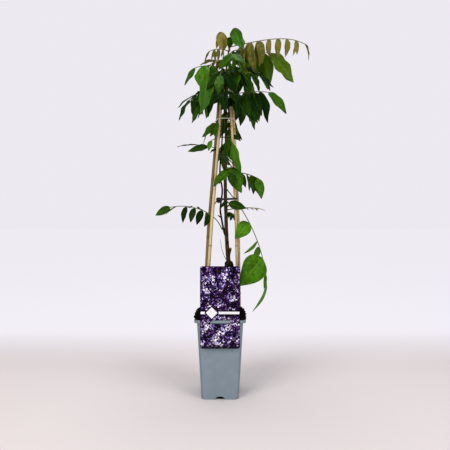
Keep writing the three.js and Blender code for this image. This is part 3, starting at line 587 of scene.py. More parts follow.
# A crumb is an icosphere pushed out of round; the bigger ones have more faces
def makeCrumb(name, faces, draw):
    startClean()
    bpy.ops.mesh.primitive_ico_sphere_add(subdivisions=faces, radius=mm, location=(0, 0, 0))
    crumb = newest(name)
    bpy.ops.object.mode_set(mode="EDIT")
    bpy.ops.transform.vertex_random(offset=0.35 * mm, seed=draw.randrange(1000))
    bpy.ops.transform.resize(value=(draw.uniform(0.8, 1.2), draw.uniform(0.8, 1.2), draw.uniform(0.6, 1)))
    bpy.ops.object.mode_set(mode="OBJECT")
    return crumb


# Copies of the masters at spots (x, y, z, size, turn), as one mesh
def scatter(masters, spots, name):
    places, faces, count = [], [], 0
    for i, (x, y, z, size, turn) in enumerate(spots):
        master = masters[i % len(masters)]
        shape = placesOf(master) * size
        across, along = math.cos(turn), math.sin(turn)
        turned = np.array([[across, along, 0], [-along, across, 0], [0, 0, 1]])
        places.append(shape @ turned + np.array([x, y, z]))
        faces += [[count + corner for corner in face.vertices] for face in master.data.polygons]
        count += len(shape)
    mesh = bpy.data.meshes.new(name)
    mesh.from_pydata((np.vstack(places) * mm).tolist(), [], faces)
    return addObject(name, mesh)


# The heaped surface: a square grid drawn in to rounded corners, ring by ring
def soilSurface():
    form = soilForm
    startClean()
    bpy.ops.mesh.primitive_grid_add(x_subdivisions=64, y_subdivisions=64, size=2 * form["spread"] * mm)
    soil = newest("soil")
    places = placesOf(soil)
    corner = potForm["corner"]
    for place in places:
        x, y = place[:2]
        share = max(abs(x), abs(y)) / form["spread"]
        flat = (form["spread"] - corner) * share
        over = max(0.0, abs(x) - flat), max(0.0, abs(y) - flat)
        if share > 0 and over[0] > 0 and over[1] > 0:
            reach = min(1, corner * share / math.hypot(*over))
            x = math.copysign(flat + over[0] * reach, x)
            y = math.copysign(flat + over[1] * reach, y)
        rough = 1.1 * math.sin(x * 1.1 + 2 * math.sin(y * 0.7)) * math.sin(y * 0.9 + 1.3 * math.sin(x * 0.6))
        sink = 2.5 * max(0.0, (share - 0.9) / 0.1) ** 2
        place[:] = x, y, soilHeight(x, y) + rough - sink
    setPlaces(soil, places)
    return soil


# Closes the surface into a block that fills the pot, by drawing its rim down in three steps
def fillPot(soil):
    form = soilForm
    workOn(soil)
    bpy.ops.object.mode_set(mode="EDIT")
    bpy.ops.mesh.select_all(action="SELECT")
    bpy.ops.mesh.region_to_loop()
    before = form["spread"]
    for z, half in ((form["overLip"], before), (form["overLip"], form["insideTop"]),
                    (form["floor"], form["insideFoot"])):
        bpy.ops.mesh.extrude_edges_move()
        bpy.ops.transform.resize(value=(half / before, half / before, 0), center_override=(0, 0, z * mm))
        before = half
    bpy.ops.mesh.edge_face_add()
    turnOutwards(soil)


def makeSoil():
    form = soilForm
    draw = random.Random(11)
    soil = soilSurface()
    fillPot(soil)
    fine = [makeCrumb("crumb", 1, draw) for _ in range(5)]
    coarse = [makeCrumb("lump", 2, draw) for _ in range(5)]
    spots, lumps = [], []
    spread = form["spread"] - 1
    front = 6 - potForm["halfTop"]
    for _ in range(form["crumbs"]):
        x, y = draw.uniform(-spread, spread), draw.uniform(front, spread)
        size = draw.uniform(0.8, 2.2)
        spots.append((x, y, soilHeight(x, y) + draw.uniform(-0.6, 0.8), size, draw.uniform(0, 6.3)))
    for _ in range(form["lumps"]):
        x, y = draw.uniform(-spread, spread), draw.uniform(front, spread)
        if draw.random() < 0.6:
            x = math.copysign(draw.uniform(44, spread), draw.choice((-1, 1, 1)))
        size = draw.uniform(2.2, 4.6)
        lumps.append((x, y, soilHeight(x, y) + draw.uniform(-1.0, 1.4), size, draw.uniform(0, 6.3)))
    for _ in range(form["spilled"]):
        # Crumbs that lie on the rim, and a few that cling to the outside of the lip
        side = draw.choice((1, 1, 1, -1))
        y = draw.uniform(-52, 50)
        lumps.append((side * draw.uniform(57, 62.5), y, draw.uniform(198, 205), draw.uniform(1.6, 4.2),
                      draw.uniform(0, 6.3)))
    joinInto(soil, [scatter(fine, spots, "crumbs"), scatter(coarse, lumps, "soilLumps")])
    for master in fine + coarse:
        bpy.data.objects.remove(master)
    finishPiece(soil, moistPeat(), "soil")


makeSoil()
print("stage: soil")

# Label: printed and varnished polypropylene sheet, so it is glossy over flat colour
labelForm = {"half": 48.0, "top": 328.0, "bottom": 130.0, "thick": 0.8, "back": -63.4, "corner": 5.5,
             "slitStart": -22.0, "slitEnd": 24.0, "slitLow": 189.5, "slitDrop": 13.0, "tongueRoot": 208.0,
             "tongueTip": 184.0, "tongueOff": 0.8}
labelLook = {"night": "#070210", "violet": "#3f2169", "plum": "#55276b", "lilac": "#a690d8",
             "white": "#fbf9ff", "leaf": "#232a1c", "roughness": 0.3, "sheen": 0.06, "floret": 2.5,
             "petal": 5.5, "cluster": 22, "floretShare": 0.62, "petalShare": 0.28, "clusterShare": 1.3,
             "base": -0.765, "nightSpan": (0.45, 0.34), "lilacSpan": (0.52, 0.62), "whiteSpan": (0.65, 0.72),
             "paleSpan": (205, 195), "pale": 0.07, "bendGrain": 9, "bend": 7}
# The plain marks on the print, each as far as it reaches from its middle, and where the dark edges and the
# painted shadow along the foot lie. A span goes from bright to dark.
printForm = {"bandHeight": 216, "band": 3, "bandFrame": 6.5, "lozengeX": -20, "lozenge": 14,
             "lozengeFrame": 18, "sideSpan": (46.2, 47), "topSpan": (325.8, 326.8), "footShadowSpan": (143, 134),
             "footShadowShare": 0.85}


# Cells of a pattern, each with a shade of its own from 0 to 1
def cellShades(tree, places, size):
    cells = addNode(tree, "ShaderNodeTexVoronoi", {"Vector": places, "Scale": 1 / (size * mm)})
    return partsOf(tree, cells.outputs["Color"])


# The print: small blossom, florets of every shade from night to white, gathered in clusters
def blossomPrint(tree, flat):
    look = labelLook
    sway = addNode(tree, "ShaderNodeTexNoise", {"Vector": flat, "Scale": 1 / (look["bendGrain"] * mm),
                                                "Detail": 2})
    push = addNode(tree, "ShaderNodeVectorMath", {0: sway.outputs["Color"], "Scale": look["bend"] * mm},
                   operation="SCALE").outputs[0]
    bent = addNode(tree, "ShaderNodeVectorMath", {0: flat, 1: push}).outputs[0]
    small = cellShades(tree, bent, look["floret"])[0]
    large = cellShades(tree, bent, look["petal"])[1]
    # Below the rim the print is a little paler
    low = easeAlong(tree, partsOf(tree, flat)[1], look["paleSpan"])
    cluster = calc(tree, "MULTIPLY_ADD", low, look["pale"], noiseAt(tree, flat, look["cluster"], 2))
    shade = calc(tree, "MULTIPLY_ADD", cluster, look["clusterShare"], look["base"])
    shade = calc(tree, "MULTIPLY_ADD", large, look["petalShare"], shade)
    shade = calc(tree, "MULTIPLY_ADD", small, look["floretShare"], shade)
    # Leaves show in the darkest places
    leafy = calc(tree, "MULTIPLY", patches(tree, flat, 15, 0.6, 0.68, 2), ease(tree, shade, 0.4, 0.25))
    return layered(tree, look, look["violet"], (patches(tree, flat, 34, 0.42, 0.6, 1), "plum"),
                   *((ease(tree, shade, *look[ink + "Span"]), ink) for ink in ("night", "lilac", "white")),
                   (leafy, "leaf"))


def printedSheet():
    look, form = labelLook, printForm
    material, tree, surface = newMaterial("Printed polypropylene sheet", look)
    x, _, z = partsOf(tree, objectPlaces(tree))
    blossom = blossomPrint(tree, addNode(tree, "ShaderNodeCombineXYZ", {0: x, 1: z}).outputs[0])
    # A plain white band lies level across the print, with a blank white lozenge on it, both framed in dark
    fromBand = distanceOf(tree, z, form["bandHeight"] * mm)
    fromLozenge = calc(tree, "ADD", fromBand, distanceOf(tree, x, form["lozengeX"] * mm))
    marks = [(calc(tree, "LESS_THAN", distance, form[reach] * mm), ink) for distance, reach, ink in (
        (fromBand, "bandFrame", "night"), (fromBand, "band", "white"),
        (fromLozenge, "lozengeFrame", "night"), (fromLozenge, "lozenge", "white"))]
    # Dark edges at the sides and the top, and a painted shadow along the foot
    edge = calc(tree, "MAXIMUM", easeAlong(tree, calc(tree, "ABSOLUTE", x), form["sideSpan"]),
                easeAlong(tree, z, form["topSpan"]))
    foot = calc(tree, "MULTIPLY", easeAlong(tree, z, form["footShadowSpan"]), form["footShadowShare"])
    # The back is plain white
    back = calc(tree, "GREATER_THAN", facingOf(tree)[1], 0.5)
    paint(tree, surface, layered(tree, look, blossom, *marks, (edge, "night"), (foot, "night"),
                                 (back, "white")))
    return material


# An upright sheet with rounded corners. along: the place of its middle and its thickness along Y.
def roundedBlock(name, left, right, low, high, along, corner, segments, shape=None):
    startClean()
    middle = ((left + right) / 2 * mm, along[0] * mm, (low + high) / 2 * mm)
    bpy.ops.mesh.primitive_cube_add(size=1, location=middle)
    block = newest(name)
    block.scale = ((right - left) * mm, along[1] * mm, (high - low) * mm)
    applyTransforms()
    if shape:
        shape(block)
    editWhere(block, "EDGE", lambda a, b: abs(a.y - b.y) > 0.5)
    bpy.ops.mesh.bevel(offset=corner * mm, segments=segments, affect="EDGES")
    return block


# The tongue over the slit bends back over the rim and is tucked in behind it
def makeTongue(middle):
    form = labelForm
    tip = form["tongueTip"]
    widening = (potForm["halfTop"] - potForm["halfFoot"]) / potForm["height"]
    wallInside = potForm["halfFoot"] + widening * tip - potForm["wall"]
    inside = form["tongueOff"] - wallInside
    over = potForm["height"] + 0.7
    way = [(middle, 209), (middle + 0.1, 207), (middle + 2.2, over + 1.8), (middle + 5, over + 0.2),
           (inside - 1, over + 0.1), (inside, 195), (inside, tip)]
    points, _ = rounded([(0, y, z) for y, z in way], [1] * len(way), 1.5)
    left = potForm["corner"] - wallInside
    startClean()
    bpy.ops.mesh.primitive_grid_add(x_subdivisions=12, y_subdivisions=len(points) - 1, size=2)
    tongue = newest("tongue")
    places = placesOf(tongue) * mm
    rows = np.rint((places[:, 1] + 1) / 2 * (len(points) - 1)).astype(int)
    across = left + (form["slitEnd"] - left) * (places[:, 0] + 1) / 2
    setPlaces(tongue, np.column_stack([across, points[rows][:, 1:]]))
    turnOutwards(tongue)
    applyModifier(tongue, "SOLIDIFY", thickness=(form["thick"] - 0.02) * mm, offset=0)
    return tongue


def makeLabel():
    form = labelForm
    middle = form["back"] - form["thick"] / 2
    label = roundedBlock("label", -form["half"], form["half"], form["bottom"], form["top"],
                         (middle, form["thick"]), form["corner"], 7)
    low, high = form["slitLow"] - 1, form["tongueRoot"]

    # The slit narrows to the left
    def narrow(block):
        editWhere(block, "VERT", lambda place: place.x < 0 and place.z > (low + high) / 2)
        bpy.ops.transform.translate(value=(0, 0, -form["slitDrop"] * mm))

    cutter = roundedBlock("slitCutter", form["slitStart"] - 1.5, form["slitEnd"] + 1.5, low, high,
                          (form["back"], 6), 2, 5, narrow)
    applyModifier(label, "BOOLEAN", object=cutter, operation="DIFFERENCE", solver="EXACT")
    bpy.data.objects.remove(cutter)
    applyModifier(label, "BEVEL", width=0.15 * mm, segments=2, limit_method="ANGLE",
                  angle_limit=math.radians(50))
    joinInto(label, [makeTongue(middle)])
    smoothed(label)
    finishPiece(label, printedSheet(), "label")


makeLabel()
print("stage: label")

# Ring: steel wire coated in white plastic. Tie: soft black rubber strap, knotted in front.
bandForm = {"ringHeight": 696, "ringWire": 0.9, "tieHeight": 493, "tieHalfWidth": 2.2, "tieHalfThick": 0.7,
            "touch": 0.3}
ringLook = {"colour": "#e6e5df", "roughness": 0.3, "sheen": 0.5}
tieLook = {"colour": "#17161a", "roughness": 0.6, "sheen": 0.5}
# Courses of the knot, with the radii along each: two lobes and the strap's two ends
knotParts = [
    ([[-9, -9.9, 491], [-6, -11.4, 492.5], [2, -12.4, 492], [7, -12.4, 491.5]], [2.8, 4.6, 4.3, 2.4], 1.5, 4),
    ([[-9, -10.6, 489], [-7, -12.6, 486], [-2, -13, 485.6], [2, -12.6, 488.5]], [1.8, 2.9, 2.7, 1.4], 1.5, 3),
    ([[-7, -12, 489], [-11, -13, 486], [-13, -13.4, 480]], [1.3, 1.2, 1.0], 2, 2),
    ([[5, -13, 492], [9, -14.4, 494], [12, -15, 491]], [1.3, 1.2, 1.0], 2, 2)]


# Level loop round several round pieces, as a string pulled round them would lie
def loopRound(held, clear):
    turns = 10
    corners = []
    for x, y, z, radius in held:
        for i in range(turns):
            angle = i / turns * 2 * math.pi
            reach = (radius + clear) / math.cos(math.pi / turns)
            corners.append((reach * math.cos(angle) + x, reach * math.sin(angle) + y, z))
    hull = []
    here = min(corners, key=lambda corner: corner[0])
    while here not in hull:
        hull.append(here)
        others = [corner for corner in corners if corner is not here]
        best = others[0]
        for corner in others[1:]:
            turn = (best[0] - here[0]) * (corner[1] - here[1]) - (best[1] - here[1]) * (corner[0] - here[0])
            if turn < 0:
                best = corner
        here = best
    return hull


caneCourses = {name: caneCourse(rows) for name, rows in canes.items()}
ringLoop = loopRound([courseAt(course, bandForm["ringHeight"]) for course in caneCourses.values()],
                     bandForm["ringWire"] + bandForm["touch"])
tieLoop = loopRound([courseAt(course, bandForm["tieHeight"])
                     for course in (mainStem, sideStem, caneCourses["cane_front_right"])],
                    bandForm["tieHalfThick"] + bandForm["touch"])


def coatedWire():
    material, _, surface = newMaterial("White plastic coating", ringLook)
    surface.inputs["Base Color"].default_value = colourOf(ringLook["colour"])
    return material


def tieRubber():
    material, tree, surface = newMaterial("Soft black rubber", tieLook)
    surface.inputs["Base Color"].default_value = colourOf(tieLook["colour"])
    relief(tree, surface, noiseAt(tree, objectPlaces(tree), 0.8, 2), 0.15, 0.6)
    return material


def makeRing():
    ring = makeTube("cane_ring", ringLoop, [bandForm["ringWire"]] * len(ringLoop), 3, cyclic=True)
    smoothed(ring)
    finishPiece(ring, coatedWire(), "cane_ring")


def makeTie():
    strap = makeTube("stem_tie", tieLoop, [1] * len(tieLoop), 3, cyclic=True)
    places = placesOf(strap)
    loop = np.array(tieLoop)
    # The round tube is pressed flat into a strap: wide upwards, thin outwards
    for place in places:
        nearest = loop[np.argmin(np.sum((loop - place) ** 2, axis=1))]
        off = place - nearest
        place[:2] = nearest[:2] + off[:2] * bandForm["tieHalfThick"]
        place[2] = nearest[2] + off[2] * bandForm["tieHalfWidth"]
    setPlaces(strap, places)
    joinInto(strap, [makeTube("knot", *rounded(points, radii, step), roundness)
                     for points, radii, step, roundness in knotParts])
    smoothed(strap)
    finishPiece(strap, tieRubber(), "stem_tie")


makeRing()
makeTie()
print("stage: ring and tie")

# Leaves. height: where the stalk leaves its stem; heading: 0 is +X, 90 is +Y; rise and fall: pitch of the
# stalk at its start and end; bow: above 1 it bends late, below 1 early; blade: length of a leaflet of size 1;
# tone: 0 is deep and 1 is light, partly the leaf's own green and partly painted shade that darkens the leaves
# inside the crown; warm: share of yellow green; slim: width over length; hang: how far the leaflets droop
# from the stalk; waved: 1 is fully waved; spread: a leaflet's angle from the stalk; bare: share of the stalk
# before the first pair; first and last: size of the first pair and of the end leaflet; roll: turn of the end
# leaflet about its rib.
# Leaflets that aren't in pairs have seats. A seat is a share of the stalk, a side, a size and a spread, and
# then, where it needs them, a roll about the rib, a swing about the stalk and a slim of its own.
usualLeaf = {"stem": "main", "bow": 1, "slim": 0.4, "spread": 58, "hang": 0.9, "first": 0.75, "last": 0.95,
             "bare": 0.26, "roll": 0, "young": False, "seats": None, "pairs": 0, "waved": 1, "warm": 0}


def leafRow(name, height, heading, rise, fall, length, blade, tone, **special):
    return {**usualLeaf, "name": "leaf_" + name, "height": height, "heading": heading, "rise": rise,
            "fall": fall, "length": length, "blade": blade, "tone": tone, **special}


leaves = [
    leafRow("bronze_right", 882, -9, 8, -32, 190, 68, 0.3, bow=3, slim=0.34, hang=3, young=True,
            seats=[(0.12, 1, 0.8, 76), (0.15, -1, 0.95, 76), (0.24, 1, 1, 72), (0.27, -1, 1.05, 70),
            (0.37, 1, 0.9, 74), (0.4, -1, 1, 66), (0.51, 1, 0.6, 80), (0.525, -1, 0.64, 80),
            (0.63, 1, 0.66, 80), (0.645, -1, 0.66, 80), (0.75, 1, 0.64, 80), (0.765, -1, 0.66, 80),
            (0.87, 1, 0.56, 80), (0.88, -1, 0.6, 80), (1, 0, 0.66, 0)]),
    leafRow("right_upper", 846, 4, 30, -4, 112, 92, 0.4, warm=0.25, hang=1.9, seats=[(0.3, -1, 0.76, 60),
            (0.34, 1, 0.7, 60), (0.58, 1, 0.86, 56, -10, 0, 0.46), (0.7, -1, 0.9, 50),
            (0.8, 1, 1, 50, -20, 0, 0.5), (1, 0, 1.06, 0, 60, 0, 0.5)]),
    leafRow("hanging_front", 516, -38, -50, -86, 262, 88, 0.68, waved=0.2, bow=1.1, slim=0.62, hang=0.1,
            seats=[(0.38, -1, 0.68, 74, 10, -36), (0.41, 1, 0.3, 60, 0, -100),
            (0.58, -1, 0.56, 64, 0, -40, 0.26), (0.64, -1, 0.4, 50, 10, -40, 0.6),
            (0.74, -1, 1.08, 60, 40, -40, 0.8), (0.9, 1, 0.5, 20, 60, -30, 0.24),
            (1, -1, 0.8, 22, 0, -64, 0.4)]),
    leafRow("left_long", 417, 177, 80, -10, 156, 42, -0.05, waved=0.4, stem="side", bow=0.58, slim=0.48,
            hang=0.8, seats=[(0.3, 1, 0.8, 74, 0, -50), (0.36, -1, 0.9, 74, 0, 30),
            (0.46, 1, 0.96, 74, 0, -50), (0.52, -1, 0.9, 74, 0, 60), (0.59, 1, 1, 74, 0, -50),
            (0.68, -1, 0.86, 74, 0, 60), (0.73, 1, 1, 70, 0, -50), (0.9, -1, 0.84, 30, 0, 60, 0.3),
            (1, 0, 1.1, 0, -80)]),
    leafRow("right_middle", 560, -10, 8, -34, 90, 54, 0.2, waved=0.3, slim=0.44, hang=1.4,
            seats=[(0.34, -1, 0.8, 58), (0.38, 1, 0.8, 58), (0.56, 1, 0.9, 58, -20),
            (0.7, -1, 0.94, 58, 20), (0.76, 1, 0.9, 58, -20), (0.9, -1, 1, 50, 30, 0, 0.5),
            (0.96, 1, 0.8, 20, 60, 60, 0.3), (1, 0, 0.8, 0, 60)]),
    leafRow("left_upper", 824, 192, 22, -24, 80, 70, 0.3, hang=2, seats=[(0.36, 1, 0.8, 70),
            (0.42, -1, 0.8, 50), (0.56, -1, 0.8, 40), (0.74, 1, 1.04, 70, 0, 0, 0.66),
            (0.94, -1, 0.8, 10, -60, 0, 0.3), (0.97, 1, 0.8, 4, 60, 0, 0.3), (1, 0, 0.76, 0, -70, 0, 0.3)]),
    leafRow("right_lower", 755, -10, 18, -12, 108, 78, 0.12, pairs=4, hang=1.6, roll=50),
    leafRow("left_lower", 756, 188, 4, -42, 56, 60, 0.12, pairs=3, hang=0.5, roll=-50),
    leafRow("left_front", 803, 234, 6, -30, 76, 94, 0.3, hang=6, seats=[(0.34, 1, 0.56, 80),
            (0.4, -1, 0.6, 60), (0.7, -1, 0.7, 50), (1, -1, 1, 100, 160, 0, 0.42)]),
    leafRow("apex_green", 872, -52, 80, 50, 54, 66, 0.42, slim=0.62, hang=2.2, seats=[(0.56, -1, 0.6, 90),
            (0.6, 1, 0.62, 80), (1, 1, 1, 104, 10)]),
    leafRow("bronze_apex", 886, -118, 66, -78, 76, 46, 0.5, pairs=7, slim=0.32, spread=74, bare=0.2,
            hang=2.2, young=True),
    leafRow("bronze_left", 848, 178, 16, -46, 46, 44, 0.3, pairs=2, slim=0.44, spread=50, hang=0.5,
            young=True),
    leafRow("bronze_top_left", 872, 164, 30, -16, 50, 36, 0.5, pairs=3, slim=0.24, spread=74, hang=2,
            young=True),
    leafRow("front_dark", 602, -122, 10, -20, 30, 54, 0.02, slim=0.5, hang=0.5, seats=[(0.5, -1, 0.6, 40),
            (0.62, 1, 0.9, 100), (1, 1, 1.08, 84, 0, 0, 0.6)]),
    leafRow("front_lower", 572, -78, 6, -46, 56, 64, 0.22, hang=1, seats=[(0.4, 1, 0.8, 70),
            (0.5, -1, 0.8, 60), (0.8, -1, 1, 84, 0, 0, 0.5), (0.84, 1, 1, 40, 40, 0, 0.5), (1, 0, 0.6, 0)]),
    leafRow("right_front", 806, -50, 4, -26, 92, 62, 0.12, pairs=4, hang=1.5),
    leafRow("front_upper", 846, -80, 20, -50, 76, 56, 0.3, pairs=4),
    leafRow("front_crown", 813, -100, 4, -50, 88, 62, 0.08, pairs=3),
    leafRow("front_ring", 744, -70, 16, -46, 62, 58, 0.05, pairs=3),
    leafRow("front_deep", 752, -92, 34, -46, 58, 58, 0.0, stem="side", pairs=3),
    leafRow("right_inner", 812, -32, 16, -34, 96, 66, 0.08, pairs=4),
    leafRow("left_small", 690, 196, 4, -44, 38, 58, 0.25, pairs=2, hang=0.8),
    leafRow("left_row", 614, 176, 30, 4, 66, 66, -0.1, slim=0.34, hang=0.1,
            seats=[(0.3, 1, 0.5, 70, 0, -20), (0.66, 1, 0.84, 34, -50, -34), (1, 0, 0.9, 0)]),
    leafRow("right_small", 654, -30, 4, -30, 28, 46, 0.1, hang=0.8, seats=[(0.5, -1, 0.8, 40),
            (0.6, 1, 0.8, 40, 60), (1, 0, 0.9, 0, 60)]),
    leafRow("bronze_bud_right", 676, 4, 10, -20, 20, 15, 0.4, pairs=2, slim=0.34, young=True),
    leafRow("bronze_shoot", 466, 3, 12, -8, 84, 15, 0.4, pairs=3, slim=0.26, spread=44, hang=0.3, bare=0.55,
            young=True),
    leafRow("low_right", 486, -75, 14, -34, 24, 48, 0.15, slim=0.5, hang=0.4, seats=[(0.6, -1, 0.6, 60),
            (1, 1, 1, 60)]),
    leafRow("low_green", 458, -42, 20, -60, 24, 26, 0.05, pairs=2, slim=0.42),
    leafRow("back_top", 838, 62, 30, -36, 112, 68, 0.15, pairs=4),
    leafRow("back_upper", 806, 112, 24, -38, 118, 70, 0.1, pairs=4),
    leafRow("back_left", 776, 150, 16, -40, 100, 66, 0.25, pairs=4),
    leafRow("back_right", 764, 34, 14, -30, 112, 66, 0.15, pairs=4, hang=1.3),
    leafRow("back_middle", 724, 84, 10, -44, 98, 64, 0.1, pairs=3),
    leafRow("back_low", 640, 94, 16, -42, 74, 52, 0.2, pairs=3),
    leafRow("front_middle", 644, -71, 8, -56, 50, 80, 0.36, pairs=2, slim=0.34, hang=1.6),
    leafRow("top_front", 862, -34, 40, -50, 44, 48, 0.2, pairs=2, hang=1.4),
    leafRow("left_tucked", 652, 188, 0, -40, 46, 46, 0.7, slim=0.46, hang=1.5,
            seats=[(0.8, 1, 0.7, 50, -40), (1, 0, 0.9, 0, -80)]),
]
leafRule = {"cell": 16, "room": 2.2, "rib": 0.7, "steps": 7, "rootFree": 9, "stalkFree": 16,
            "stalkThick": 1.3, "stalkThin": 0.9, "rootOff": 0.5, "sample": 4, "bladeSample": 5,
            "spreadPlay": 14, "rollPlay": 30, "shortest": 0.92, "lengthPlay": 0.16, "fold": 0.28,
            "youngFold": 0.5, "leastDroop": 0.1, "droopPlay": 0.16}
# Degrees that a stalk or a leaflet may be turned, tried in this order
stalkSwings = (0, 5, -5, 10, -10, 15, -15, 20, -20, 26, -26, 32, -32)
leafletSwings = (0, 12, -12, 24, -24, 36, -36, 50, -50, 64, -64)
leafletTwists = (0, 24, -24, 48, -48)

# Where the leaflets are follows the frame's own rule: each stalk, then each leaflet, is turned a little at a
# time until it is clear of what is there already
taken = {}


def take(point, radius, owner=""):
    cell = tuple(math.floor(value / leafRule["cell"]) for value in point)
    taken.setdefault(cell, []).append((point[0], point[1], point[2], radius, owner))


def isFree(point, radius, own=None):
    x, y, z = (math.floor(value / leafRule["cell"]) for value in point)
    px, py, pz = point
    for i in (x - 1, x, x + 1):
        for j in (y - 1, y, y + 1):
            for k in (z - 1, z, z + 1):
                for bx, by, bz, reach, owner in taken.get((i, j, k), ()):
                    apart = math.sqrt((bx - px) ** 2 + (by - py) ** 2 + (bz - pz) ** 2)
                    if apart < reach + radius + leafRule["room"] and owner != own:
                        return False
    return True


def spaced(points, step):
    rows = []
    for before, end in zip(points, points[1:]):
        count = math.ceil(math.dist(before, end) / step)
        rows += [[a + (b - a) * (j + 1) / count for a, b in zip(before, end)] for j in range(count)]
    return rows


def takeCourse(rows, owner=""):
    for low, high in zip(rows, rows[1:]):
        for point in spaced([low[:3], high[:3]], leafRule["sample"]):
            take(point, max(low[3], high[3]), owner)


def takeLoop(path, radius):
    for point in spaced(path + [path[0]], leafRule["sample"]):
        take(point, radius)


def takeLabel(step=5):
    form = labelForm
    for x in np.arange(-form["half"], form["half"] + 0.001, step):
        for z in np.arange(potForm["height"], form["top"] + 0.001, step):
            take([x, form["back"] - form["thick"] / 2, z], 0.5)


# The frame's own stream of numbers from 0 to 1
def draws(seed):
    state = seed
    while True:
        state = (state * 1664525 + 1013904223) % 4294967296
        yield state / 4294967296


def crossOf(a, b):
    return np.array([a[1] * b[2] - a[2] * b[1], a[2] * b[0] - a[0] * b[2], a[0] * b[1] - a[1] * b[0]])


def unit(a):
    return a / math.sqrt(a @ a)


def turnedAbout(a, axis, angle):
    return (a * math.cos(angle) + crossOf(axis, a) * math.sin(angle)
            + axis * (axis @ a) * (1 - math.cos(angle)))


def aheadAt(heading, pitch):
    level = math.cos(pitch)
    return np.array([level * math.cos(heading), level * math.sin(heading), math.sin(pitch)])


# A stalk as a row of points, from just off its stem
def stalkOf(leaf, swing):
    heading = math.radians(leaf["heading"] + swing)
    rise, fall = math.radians(leaf["rise"]), math.radians(leaf["fall"])
    x, y, z, radius = courseAt(stems[leaf["stem"]], leaf["height"])
    off = radius + bandForm["touch"] + leafRule["stalkThick"] * abs(math.sin(rise))
    points = [np.array([x, y, z]) + aheadAt(heading, 0) * off]
    for i in range(leafRule["steps"]):
        pitch = rise + (fall - rise) * ((i + 0.5) / leafRule["steps"]) ** leaf["bow"]
        points.append(points[i] + aheadAt(heading, pitch) * (leaf["length"] / leafRule["steps"]))
    return points, heading


def placeStalk(leaf):
    thick = leafRule["stalkThick"]
    near = leafRule["stalkFree"] / leafRule["sample"]
    for swing in stalkSwings:
        points, heading = stalkOf(leaf, swing)
        tested = spaced([point.tolist() for point in points], leafRule["sample"])
        if all(isFree(point, thick, leaf["stem"] if i < near else None) for i, point in enumerate(tested)):
            for point in tested:
                take(point, thick, leaf["name"])
            return points, heading
    raise RuntimeError("no room for the stalk of " + leaf["name"])


# Half the width of a leaflet at a share of its length, as a share of its widest
def bladeWidth(u):
    return np.sin(math.pi * u ** 0.8).clip(0) ** 0.8 * (1 - 0.15 * u)


def seatsOf(leaf):
    if leaf["seats"]:
        return leaf["seats"]
    seats = []
    for i in range(leaf["pairs"]):
        place = i / leaf["pairs"]
        size = 1 - (1 - leaf["first"]) * (1 - place) ** 2 - (1 - leaf["last"]) * place ** 2
        share = leaf["bare"] + (0.96 - leaf["bare"]) * place
        seats += [(share, side, size, leaf["spread"]) for side in (1, -1)]
    return seats + [(1, 0, leaf["last"], leaf["spread"], leaf["roll"])]


# A leaflet at a seat: swing turns it about the stalk, twist about its own rib. chances: four numbers drawn.
def bladeAt(leaf, stalk, seat, chances, swing, twist):
    rule = leafRule
    share, side, size, seatSpread, seatRoll, seatSwing, slim = seat + (0, 0, leaf["slim"])[len(seat) - 4:]
    points, heading = stalk
    along = share * rule["steps"]
    i = min(math.floor(along), rule["steps"] - 1)
    root = points[i] + (points[i + 1] - points[i]) * (along - i)
    tangent = unit(points[i + 1] - points[i])
    left = np.array([-math.sin(heading), math.cos(heading), 0])
    stalkCrown = crossOf(tangent, left)
    spread = math.radians(seatSpread + rule["spreadPlay"] * (chances[0] - 0.5)) * side
    ahead = tangent * math.cos(spread) + left * math.sin(spread)
    ahead = turnedAbout(ahead, tangent, math.radians(seatSwing + swing) * (side or 1))
    ahead[2] -= leaf["hang"] * (1 if side else 0.5)
    ahead = unit(ahead)
    crown = unit(stalkCrown - ahead * (stalkCrown @ ahead))
    roll = seatRoll + twist + rule["rollPlay"] * (chances[1] - 0.5)
    crown = turnedAbout(crown, ahead, math.radians(roll))
    length = leaf["blade"] * size * (rule["shortest"] + rule["lengthPlay"] * chances[2])
    return {"root": root, "ahead": ahead, "crown": crown, "side": crossOf(crown, ahead), "length": length,
            "start": rule["rootOff"] * (1 if share < 1 else -1), "half": length * slim / 2,
            "fold": rule["youngFold" if leaf["young"] else "fold"],
            "droop": rule["leastDroop"] + rule["droopPlay"] * chances[3]}


def bladePoints(blade, u, v):
    out = blade["half"] * bladeWidth(u) * v
    rise = np.abs(out) * blade["fold"] - blade["droop"] * blade["length"] * u * u
    return (blade["root"] + np.outer(u, blade["ahead"]) * blade["length"] + np.outer(out, blade["side"])
            + np.outer(rise, blade["crown"]))


def placeBlade(leaf, stalk, seat, chances):
    for swing in leafletSwings:
        for twist in leafletTwists:
            blade = bladeAt(leaf, stalk, seat, chances, swing, twist)
            count = math.ceil(blade["length"] / leafRule["bladeSample"])
            u = np.repeat((np.arange(count) + 1) / count, 5)
            v = np.tile([-1, -0.5, 0, 0.5, 1], count)
            points = bladePoints(blade, u, v).tolist()
            free = min(leafRule["rootFree"] / blade["length"], 0.4)
            ownReach = 1.8 * leafRule["rootFree"] / blade["length"]
            fits = all(share < free or isFree(point, leafRule["rib"],
                                              leaf["name"] if share < ownReach or not seat[1] else None)
                       for share, point in zip(u, points))
            if fits:
                for point in points:
                    take(point, leafRule["rib"], leaf["name"] + "_blade")
                return blade
    return None


def placeLeaves():
    for course in caneCourses.values():
        takeCourse(course)
    for name, rows in stems.items():
        takeCourse(rows, name)
    takeLabel()
    takeLoop([list(point) for point in ringLoop], bandForm["ringWire"])
    takeLoop([list(point) for point in tieLoop], bandForm["tieHalfWidth"])
    stalks = [placeStalk(leaf) for leaf in leaves]
    placed = []
    for number, leaf in enumerate(leaves):
        stream = draws(number + 1)
        next(stream)
        blades = []
        for seat in seatsOf(leaf):
            chances = [next(stream) for _ in range(4)]
            blades.append(placeBlade(leaf, stalks[number], seat, chances))
        placed.append((stalks[number], [blade for blade in blades if blade]))
    return placed


placedLeaves = placeLeaves()
print("stage: leaves placed,", sum(len(blades) for _, blades in placedLeaves), "leaflets")

